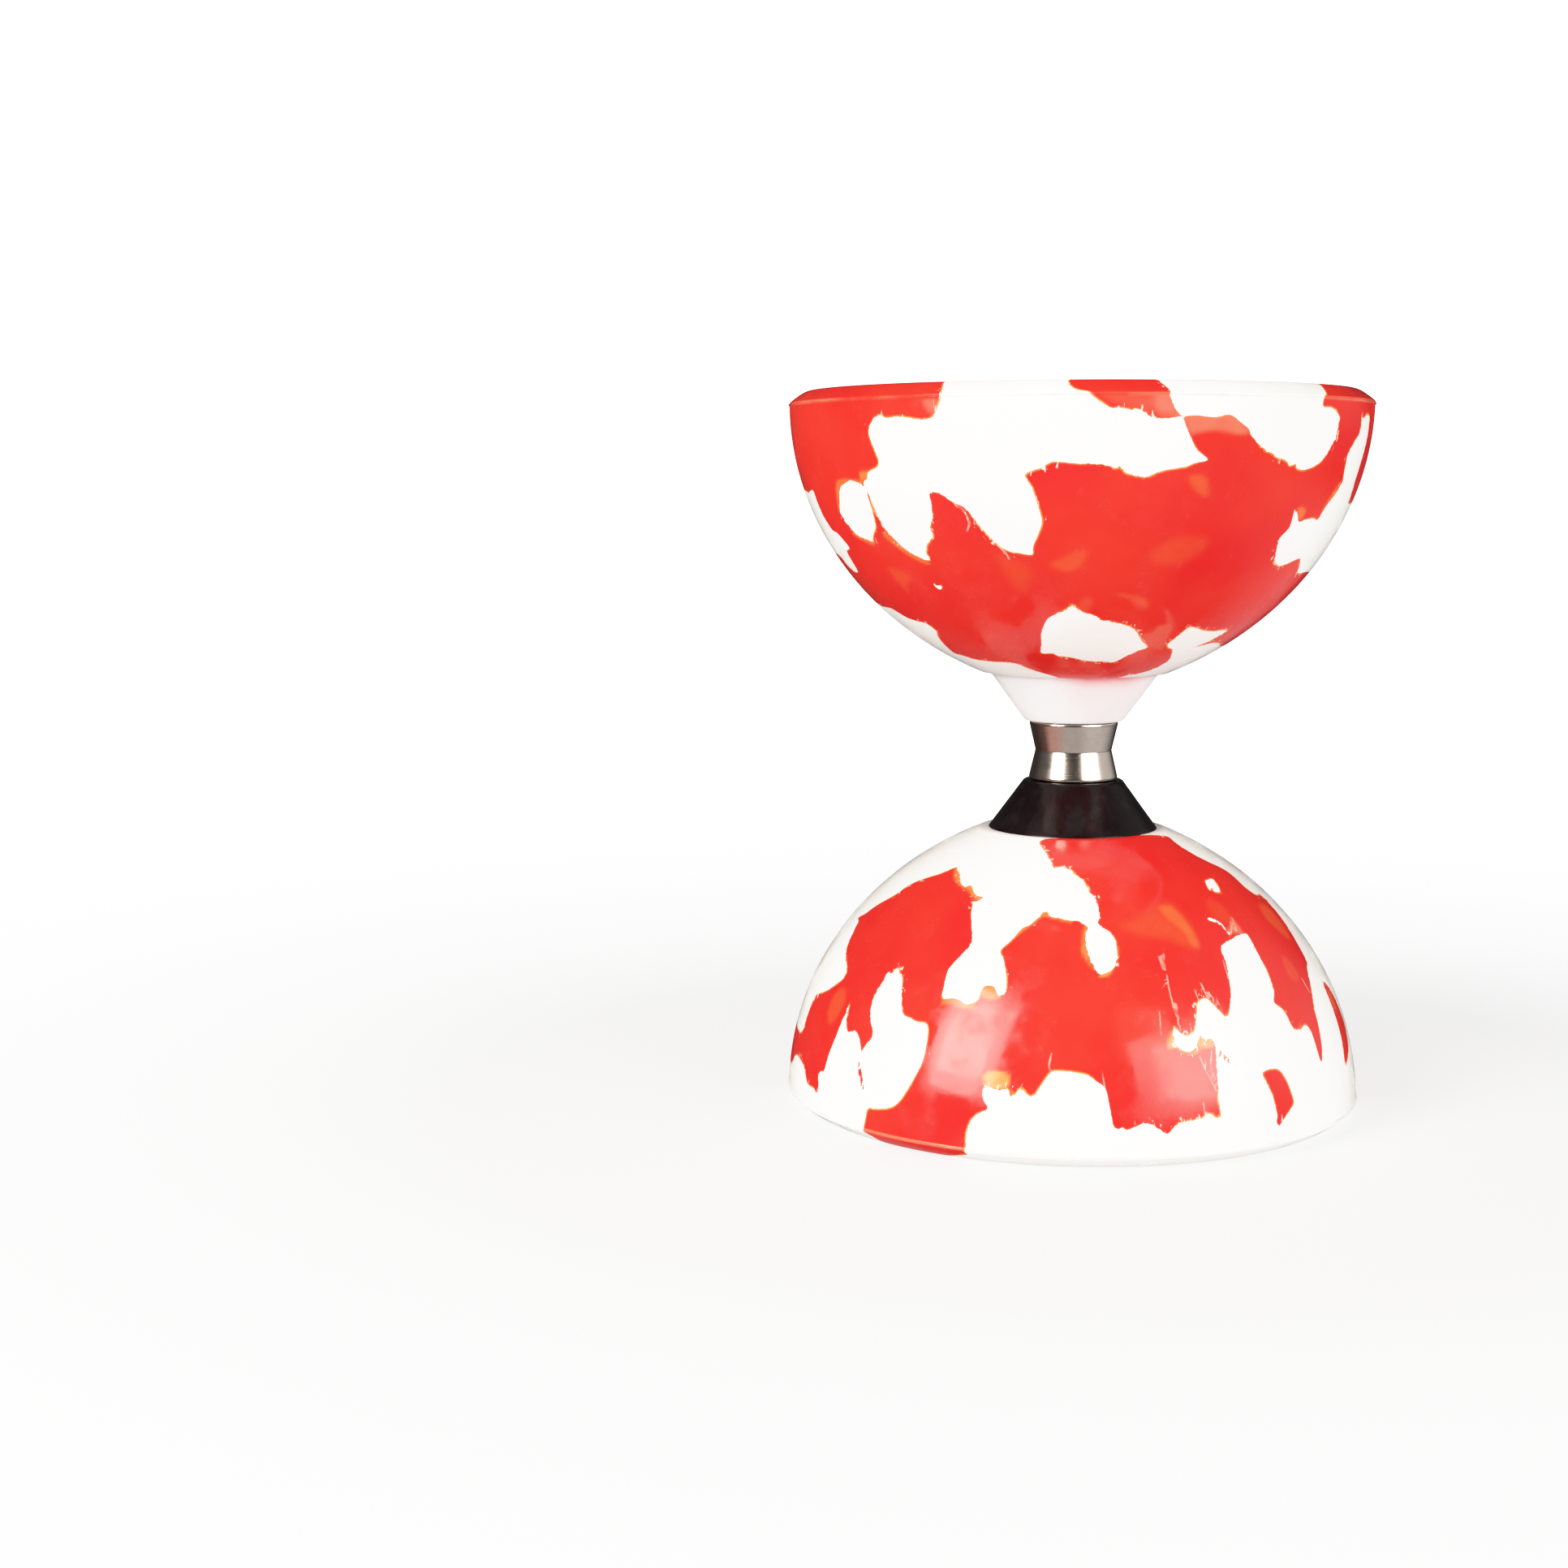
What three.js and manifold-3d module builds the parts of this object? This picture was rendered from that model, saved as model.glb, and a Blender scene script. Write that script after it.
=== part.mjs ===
// Diabolo: two rubber cups back to back on a V-grooved steel spool that runs on ball bearings.
// Units are millimetres. +Z is the spin axis and the origin is the centre of the string groove.
// Every mirrored piece is made once, for the top, and again for the bottom with side = -1.

import * as THREE from 'three';
import { mergeVertices } from 'three/addons/utils/BufferGeometryUtils.js';
import Module from 'manifold-3d';

// Play between pieces
const FACE_PLAY = 0.01;              // left between two faces that are clamped together
const FIT_PLAY = 0.03;               // left around a pressed or threaded piece
const RUNNING_PLAY = 0.1;            // between a ball and its raceway

// Stack along the rod, measured outwards from the centre of the groove
const SPACER_HALF = 0.4;
const BEARING_WIDTH = 5;
const SHIM_THICKNESS = 0.3;
const HUB_LENGTH = 9.35;
const CUP_FLOOR = 3.85;
const CLAMP_THICKNESS = 2;
const WASHER_THICKNESS = 1.2;
const NUT_HEIGHT = 6;
const ROD_OVERHANG = 1.5;

const BEARING_END = SPACER_HALF + BEARING_WIDTH;
const BEARING_MIDDLE = SPACER_HALF + BEARING_WIDTH / 2;
const HUB_START = BEARING_END + SHIM_THICKNESS;
const CUP_START = HUB_START + HUB_LENGTH;
const CLAMP_START = CUP_START + CUP_FLOOR;
const WASHER_START = CLAMP_START + CLAMP_THICKNESS;
const NUT_START = WASHER_START + WASHER_THICKNESS;
const ROD_END = NUT_START + NUT_HEIGHT + ROD_OVERHANG;

// Cup: the wall is a quarter ellipse, wide at the mouth, whose centre lies a little off the axis
const CUP_HALF_LENGTH = 68;          // groove centre to the rim's end face
const WALL_OFFSET = -8.38;           // radius at which the ellipse is centred
const WALL_WIDTH = 63.09;            // its half axis across the cup
const WALL_DEPTH = 56.21;            // its half axis along the cup
const WALL_TOP = 66.15;              // height at which it is centred
const WALL_THICKNESS = 4.4;
const WALL_STEPS = 9;
const FLASH_HEIGHT = 65.4;           // the mould's parting line
const FLASH_HALF = 0.3;
const RIM_RADIUS = 55;               // over the flash
const RIM_ROUND = 2.5;
const RIM_ROUND_STEPS = 3;
const RIM_INNER_ROUND = 0.8;
const CUP_HOLE_RADIUS = 5.1;

// Hub cone
const HUB_SMALL_RADIUS = 9.4;
const HUB_LARGE_RADIUS = 16.1;
const HUB_EDGE = 0.15;               // the thin cylindrical edge against the cup
const HUB_ROUND = 0.5;
const SPIGOT_RADIUS = 5;
const SPIGOT_LENGTH = 3.35;

// Spool
const SPOOL_HALF = 5.5;
const SPOOL_WAIST_RADIUS = 7.3;
const SPOOL_END_RADIUS = 8.45;
const SPOOL_LAND = 0.5;              // the cylindrical band at each end
const SPOOL_CHAMFER = 0.15;
const SPOOL_SHOULDER_RADIUS = 5.75;
const WAIST_FILLET = 0.15;

// Bearing, 6 x 13 x 5
const ROD_RADIUS = 3;
const BEARING_RADIUS = 6.5;
const BALL_RADIUS = 1.05;
const PITCH_RADIUS = 4.75;
const BALL_COUNT = 7;
const RACE_RADIUS = BALL_RADIUS + RUNNING_PLAY;
const RACE_STEPS = 5;
const INNER_RING_RADIUS = 4.05;
const OUTER_RING_BORE = 5.45;
const SHIELD_THICKNESS = 0.25;
const SHIELD_INSET = 0.15;
const SHIELD_BORE = 4.2;
const CAGE_INNER_RADIUS = 4.35;
const CAGE_OUTER_RADIUS = 5.15;
const CAGE_HALF_WIDTH = 1.5;
const POCKET_RADIUS = BALL_RADIUS + RUNNING_PLAY;

// Fastenings inside the cup
const CLAMP_RADIUS = 11;
const CLAMP_CHAMFER = 0.6;
const WASHER_RADIUS = 8;
const WASHER_BORE = 3.2;
const SPACER_RADIUS = 3.9;
const NUT_FLATS = 10;
const NUT_HEX_HEIGHT = 4.3;
const NUT_SIDES = 6;
const NUT_CHAMFER = 0.4;             // along the rod
const NUT_CHAMFER_WIDTH = 0.8;       // across the face
const NUT_COLLAR_RADIUS = 4.5;
const NUT_LIP_RADIUS = 3.5;
const INSERT_RADIUS = 4;
const INSERT_HEIGHT = 1.5;
const NUT_LIP = 0.4;
const ROD_CHAMFER = 0.5;

// Segments round the axis, and round and down a ball
const CUP_SEGMENTS = 40;
const HUB_SEGMENTS = 36;
const SMALL_SEGMENTS = 24;
const BALL_SEGMENTS = [10, 6];

const WELD_DISTANCE = 1e-5;          // points closer than this are one point
const OVERCUT = 1;                   // how far a cutting body runs past the face that it opens

const wasm = await Module();
wasm.setup();

// Degrees of a circular or elliptical arc, as evenly spaced angles in radians
function angles(fromDegrees, toDegrees, steps) {
  const step = (toDegrees - fromDegrees) / steps;
  return Array.from({ length: steps + 1 }, (_, i) => THREE.MathUtils.degToRad(fromDegrees + i * step));
}

// Evenly spaced angles all the way round the axis, in radians
function roundTheAxis(count) {
  return Array.from({ length: count }, (_, i) => (2 * Math.PI * i) / count);
}

function arc(centreRadius, centreHeight, radius, fromDegrees, toDegrees, steps) {
  return angles(fromDegrees, toDegrees, steps).map((a) => [
    centreRadius + radius * Math.cos(a),
    centreHeight + radius * Math.sin(a),
  ]);
}

function rectangle(innerRadius, outerRadius, low, high) {
  return [[innerRadius, low], [outerRadius, low], [outerRadius, high], [innerRadius, high]];
}

// Revolves a closed outline of [radius, height] points about Z. An outline that touches the axis
// starts and ends on it.
function lathe(outline, side, segments) {
  const points = outline.map(([radius, height]) => new THREE.Vector2(radius, side * height));
  if (THREE.ShapeUtils.area(points) < 0) points.reverse();
  const onAxis = points[0].x === 0 && points[points.length - 1].x === 0;
  if (!onAxis) points.push(points[0].clone());
  return new THREE.LatheGeometry(points, segments).rotateX(Math.PI / 2);
}

function toSolid(geometry) {
  const bare = geometry.clone();
  bare.deleteAttribute('normal');
  bare.deleteAttribute('uv');
  const merged = mergeVertices(bare, WELD_DISTANCE);
  return new wasm.Manifold(new wasm.Mesh({
    numProp: 3,
    vertProperties: new Float32Array(merged.attributes.position.array),
    triVerts: new Uint32Array(merged.index.array),
  }));
}

function toGeometry(solid) {
  const mesh = solid.getMesh();
  const geometry = new THREE.BufferGeometry();
  geometry.setAttribute('position', new THREE.BufferAttribute(mesh.vertProperties, 3));
  geometry.setIndex(new THREE.BufferAttribute(mesh.triVerts, 1));
  geometry.computeVertexNormals();
  return geometry;
}

const diabolo = new THREE.Group();

function add(name, geometry, finish) {
  const mesh = new THREE.Mesh(geometry, new THREE.MeshStandardMaterial(finish));
  mesh.name = name;
  diabolo.add(mesh);
  return mesh;
}

const RUBBER = { color: 0xe03526, roughness: 0.4, metalness: 0 };
const WHITE_PLASTIC = { color: 0xf4eef0, roughness: 0.35, metalness: 0 };
const BLACK_PLASTIC = { color: 0x1c1719, roughness: 0.45, metalness: 0 };
const TURNED_STEEL = { color: 0xc9c4bf, roughness: 0.22, metalness: 1 };
const PLATED_STEEL = { color: 0xb9bcc0, roughness: 0.35, metalness: 1 };
const BEARING_STEEL = { color: 0xcfd2d6, roughness: 0.15, metalness: 1 };
const NYLON = { color: 0x3d6fb5, roughness: 0.5, metalness: 0 };

// Point of the cup's wall, inset from its outer face; the angle runs from the mouth to the floor
function wallPoint(angle, inset) {
  return [
    WALL_OFFSET + (WALL_WIDTH - inset) * Math.cos(angle),
    WALL_TOP - (WALL_DEPTH - inset) * Math.sin(angle),
  ];
}

// Angle at which the inset wall reaches a height, in degrees
function wallAngle(height, inset) {
  return THREE.MathUtils.radToDeg(Math.asin((WALL_TOP - height) / (WALL_DEPTH - inset)));
}

function cupOutline() {
  const floorHeight = CLAMP_START - FACE_PLAY / 2;
  const baseHeight = CUP_START + FACE_PLAY / 2;
  const flashStart = wallAngle(FLASH_HEIGHT - FLASH_HALF, 0);
  const outer = angles(wallAngle(baseHeight, 0), flashStart, WALL_STEPS).map((a) => wallPoint(a, 0));
  const inner = angles(0, wallAngle(floorHeight, WALL_THICKNESS), WALL_STEPS)
    .map((a) => wallPoint(a, WALL_THICKNESS));
  const wallRadius = WALL_OFFSET + WALL_WIDTH;
  const mouthRadius = wallRadius - WALL_THICKNESS;
  const roundHeight = CUP_HALF_LENGTH - RIM_ROUND;
  const innerRoundHeight = CUP_HALF_LENGTH - RIM_INNER_ROUND;
  return [
    [CUP_HOLE_RADIUS, baseHeight],
    ...outer,
    [RIM_RADIUS, FLASH_HEIGHT],
    [wallRadius, FLASH_HEIGHT + FLASH_HALF],
    ...arc(wallRadius - RIM_ROUND, roundHeight, RIM_ROUND, 0, 90, RIM_ROUND_STEPS).slice(1),
    ...arc(mouthRadius + RIM_INNER_ROUND, innerRoundHeight, RIM_INNER_ROUND, 90, 180, 2),
    ...inner,
    [CUP_HOLE_RADIUS, floorHeight],
  ];
}

function hubOutline() {
  const start = HUB_START;
  const end = CUP_START - FACE_PLAY / 2;
  const spigotEnd = end + SPIGOT_LENGTH;
  const bore = ROD_RADIUS + FIT_PLAY;
  const coneLean = Math.atan2(HUB_LARGE_RADIUS - HUB_SMALL_RADIUS, end - HUB_EDGE - start);
  const coneFacing = -THREE.MathUtils.radToDeg(coneLean);
  return [
    [bore, start],
    ...arc(HUB_SMALL_RADIUS - HUB_ROUND, start + HUB_ROUND, HUB_ROUND, -90, coneFacing, 2),
    [HUB_LARGE_RADIUS, end - HUB_EDGE],
    [HUB_LARGE_RADIUS, end],
    [SPIGOT_RADIUS, end],
    [SPIGOT_RADIUS, spigotEnd],
    [bore, spigotEnd],
  ];
}

function spoolOutline() {
  const coneEnd = SPOOL_HALF - SPOOL_LAND;
  const bore = BEARING_RADIUS + FIT_PLAY;
  const shoulder = SPACER_HALF - FACE_PLAY;
  const top = [
    [SPOOL_WAIST_RADIUS, WAIST_FILLET],
    [SPOOL_END_RADIUS, coneEnd],
    [SPOOL_END_RADIUS, SPOOL_HALF - SPOOL_CHAMFER],
    [SPOOL_END_RADIUS - SPOOL_CHAMFER, SPOOL_HALF],
    [bore + SPOOL_CHAMFER, SPOOL_HALF],
    [bore, SPOOL_HALF - SPOOL_CHAMFER],
    [bore, shoulder],
    [SPOOL_SHOULDER_RADIUS, shoulder],
  ];
  const bottom = top.map(([radius, height]) => [radius, -height]).reverse();
  return [...top, ...bottom];
}

function rodOutline() {
  return [
    [0, -ROD_END],
    [ROD_RADIUS - ROD_CHAMFER, -ROD_END],
    [ROD_RADIUS, -ROD_END + ROD_CHAMFER],
    [ROD_RADIUS, ROD_END - ROD_CHAMFER],
    [ROD_RADIUS - ROD_CHAMFER, ROD_END],
    [0, ROD_END],
  ];
}

// Half angle, in degrees, of the raceway groove where it breaks out at a ring's shoulder
function raceHalfAngle(shoulderRadius) {
  return THREE.MathUtils.radToDeg(Math.acos(Math.abs(shoulderRadius - PITCH_RADIUS) / RACE_RADIUS));
}

function outerRingOutline() {
  const half = raceHalfAngle(OUTER_RING_BORE);
  const low = SPACER_HALF;
  return [
    [BEARING_RADIUS, low],
    [BEARING_RADIUS, BEARING_END],
    [OUTER_RING_BORE, BEARING_END],
    ...arc(PITCH_RADIUS, BEARING_MIDDLE, RACE_RADIUS, half, -half, RACE_STEPS),
    [OUTER_RING_BORE, low],
  ];
}

function innerRingOutline() {
  const half = raceHalfAngle(INNER_RING_RADIUS);
  const bore = ROD_RADIUS + FIT_PLAY;
  return [
    [bore, SPACER_HALF],
    [INNER_RING_RADIUS, SPACER_HALF],
    ...arc(PITCH_RADIUS, BEARING_MIDDLE, RACE_RADIUS, 180 + half, 180 - half, RACE_STEPS),
    [INNER_RING_RADIUS, BEARING_END],
    [bore, BEARING_END],
  ];
}

function shieldOutline(outward) {
  const edge = BEARING_WIDTH / 2 - SHIELD_INSET;
  const near = BEARING_MIDDLE + outward * (edge - SHIELD_THICKNESS);
  const far = BEARING_MIDDLE + outward * edge;
  return rectangle(SHIELD_BORE, OUTER_RING_BORE - FIT_PLAY, near, far);
}

const BALL_ANGLES = roundTheAxis(BALL_COUNT);

function atBall(geometry, angle, side) {
  const x = PITCH_RADIUS * Math.cos(angle);
  const y = PITCH_RADIUS * Math.sin(angle);
  return geometry.translate(x, y, side * BEARING_MIDDLE);
}

function cageGeometry(side) {
  const low = BEARING_MIDDLE - CAGE_HALF_WIDTH;
  const high = BEARING_MIDDLE + CAGE_HALF_WIDTH;
  const outline = rectangle(CAGE_INNER_RADIUS, CAGE_OUTER_RADIUS, low, high);
  const ring = toSolid(lathe(outline, side, SMALL_SEGMENTS));
  const cut = (solid, angle) => {
    const pocket = new THREE.SphereGeometry(POCKET_RADIUS, ...BALL_SEGMENTS);
    return solid.subtract(toSolid(atBall(pocket, angle, side)));
  };
  return toGeometry(BALL_ANGLES.reduce(cut, ring));
}

// Hexagon with chamfered corners, a round collar and a recess for the nylon insert
function nutGeometry(side) {
  const low = NUT_START + FACE_PLAY / 2;
  const hexTop = low + NUT_HEX_HEIGHT;
  const top = NUT_START + NUT_HEIGHT;
  const cornerRadius = NUT_FLATS / Math.sqrt(3);
  const corners = roundTheAxis(NUT_SIDES).map((a) => new THREE.Vector2(Math.cos(a), Math.sin(a)));
  const hexagon = new THREE.Shape(corners.map((corner) => corner.multiplyScalar(cornerRadius)));
  const prism = new THREE.ExtrudeGeometry(hexagon, { depth: NUT_HEX_HEIGHT, bevelEnabled: false });
  prism.translate(0, 0, side > 0 ? low : -hexTop);
  const flatRadius = NUT_FLATS / 2;
  const chamfered = lathe([
    [0, low],
    [flatRadius, low],
    [flatRadius + NUT_CHAMFER_WIDTH, low + NUT_CHAMFER],
    [flatRadius + NUT_CHAMFER_WIDTH, hexTop - NUT_CHAMFER],
    [flatRadius, hexTop],
    [0, hexTop],
  ], side, SMALL_SEGMENTS);
  const collar = lathe([
    [0, low + NUT_CHAMFER],
    [NUT_COLLAR_RADIUS, low + NUT_CHAMFER],
    [NUT_COLLAR_RADIUS, top - NUT_CHAMFER],
    [NUT_COLLAR_RADIUS - NUT_CHAMFER, top],
    [0, top],
  ], side, SMALL_SEGMENTS);
  const insertLow = top - NUT_LIP - INSERT_HEIGHT;
  const bore = ROD_RADIUS + FIT_PLAY;
  const hole = lathe([
    [0, low - OVERCUT],
    [bore, low - OVERCUT],
    [bore, insertLow],
    [INSERT_RADIUS + FIT_PLAY, insertLow],
    [INSERT_RADIUS + FIT_PLAY, top - NUT_LIP],
    [NUT_LIP_RADIUS, top - NUT_LIP],
    [NUT_LIP_RADIUS, top + OVERCUT],
    [0, top + OVERCUT],
  ], side, SMALL_SEGMENTS);
  const body = toSolid(prism).intersect(toSolid(chamfered)).add(toSolid(collar));
  return toGeometry(body.subtract(toSolid(hole)));
}

function insertOutline() {
  const high = NUT_START + NUT_HEIGHT - NUT_LIP - FACE_PLAY;
  const low = high - INSERT_HEIGHT + 2 * FACE_PLAY;
  return rectangle(ROD_RADIUS + FIT_PLAY, INSERT_RADIUS, low, high);
}

function clampOutline() {
  const low = CLAMP_START + FACE_PLAY / 2;
  const high = WASHER_START - FACE_PLAY / 2;
  const bore = ROD_RADIUS + FIT_PLAY;
  return [
    [bore, low],
    [CLAMP_RADIUS, low],
    [CLAMP_RADIUS, high - CLAMP_CHAMFER],
    [CLAMP_RADIUS - CLAMP_CHAMFER, high],
    [bore, high],
  ];
}

function washerOutline() {
  return rectangle(WASHER_BORE, WASHER_RADIUS, WASHER_START + FACE_PLAY / 2, NUT_START - FACE_PLAY / 2);
}

function shimOutline() {
  return rectangle(ROD_RADIUS + FIT_PLAY, SPACER_RADIUS, BEARING_END + FACE_PLAY, HUB_START - FACE_PLAY);
}

function spacerOutline() {
  const half = SPACER_HALF - FACE_PLAY;
  return rectangle(ROD_RADIUS + FIT_PLAY, SPACER_RADIUS, -half, half);
}

add('axle_rod', lathe(rodOutline(), 1, SMALL_SEGMENTS), PLATED_STEEL);
add('axle_spool', lathe(spoolOutline(), 1, HUB_SEGMENTS), TURNED_STEEL);
add('bearing_spacer', lathe(spacerOutline(), 1, SMALL_SEGMENTS), PLATED_STEEL);

for (const [end, side] of [['top', 1], ['bottom', -1]]) {
  add(`cup_${end}`, lathe(cupOutline(), side, CUP_SEGMENTS), RUBBER);
  add(`hub_${end}`, lathe(hubOutline(), side, HUB_SEGMENTS), side > 0 ? WHITE_PLASTIC : BLACK_PLASTIC);
  add(`shim_${end}`, lathe(shimOutline(), side, SMALL_SEGMENTS), PLATED_STEEL);
  add(`outer_ring_${end}`, lathe(outerRingOutline(), side, SMALL_SEGMENTS), BEARING_STEEL);
  add(`inner_ring_${end}`, lathe(innerRingOutline(), side, SMALL_SEGMENTS), BEARING_STEEL);
  add(`shield_${end}_outer`, lathe(shieldOutline(1), side, SMALL_SEGMENTS), BEARING_STEEL);
  add(`shield_${end}_inner`, lathe(shieldOutline(-1), side, SMALL_SEGMENTS), BEARING_STEEL);
  add(`cage_${end}`, cageGeometry(side), BEARING_STEEL);
  BALL_ANGLES.forEach((angle, i) => {
    const ball = new THREE.SphereGeometry(BALL_RADIUS, ...BALL_SEGMENTS);
    add(`ball_${end}_${i + 1}`, atBall(ball, angle, side), BEARING_STEEL);
  });
  add(`clamp_disc_${end}`, lathe(clampOutline(), side, HUB_SEGMENTS), BLACK_PLASTIC);
  add(`washer_${end}`, lathe(washerOutline(), side, SMALL_SEGMENTS), PLATED_STEEL);
  add(`lock_nut_${end}`, nutGeometry(side), PLATED_STEEL);
  add(`nut_insert_${end}`, lathe(insertOutline(), side, SMALL_SEGMENTS), NYLON);
}

export default diabolo;
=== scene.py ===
"""Looks for the diabolo: two marbled rubber cups, two hub cones, a turned steel spool and its fastenings.

Every profile is given as (radius, height) in millimetres for the top half, and mirrored for the bottom.
Places on a cup's wall are given as (azimuth, wall angle) in degrees. Azimuth 0 faces the front, -Y, and
grows towards +X. Wall angle 0 is just behind the rim and grows towards the hub. Below 0 it counts
millimetres round the rim.
"""

import math

import bpy
import numpy as np
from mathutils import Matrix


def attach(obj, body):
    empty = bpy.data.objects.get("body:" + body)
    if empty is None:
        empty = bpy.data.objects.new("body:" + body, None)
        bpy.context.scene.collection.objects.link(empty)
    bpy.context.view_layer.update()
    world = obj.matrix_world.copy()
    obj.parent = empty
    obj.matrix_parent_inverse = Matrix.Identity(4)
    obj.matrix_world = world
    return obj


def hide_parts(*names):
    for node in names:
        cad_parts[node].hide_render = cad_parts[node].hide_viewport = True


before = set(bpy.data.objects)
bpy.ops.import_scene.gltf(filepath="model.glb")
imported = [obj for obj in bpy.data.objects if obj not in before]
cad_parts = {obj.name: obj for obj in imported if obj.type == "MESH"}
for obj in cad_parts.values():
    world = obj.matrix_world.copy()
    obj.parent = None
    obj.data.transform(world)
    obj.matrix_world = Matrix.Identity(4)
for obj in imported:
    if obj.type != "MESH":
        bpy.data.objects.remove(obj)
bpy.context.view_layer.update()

MM = 0.001
AXLE = "cup_assembly"
SPOOL = "spool_assembly"
FINISH = "_finish"         # in a material's name, this follows the record's slot name
FLASH_HEIGHT = 65.4        # mm from the middle to the flash, the mould's parting line, on each cup
SHARP_ANGLE = math.radians(32)     # faces that meet at more than this make a sharp edge

# ---- marbling

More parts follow.
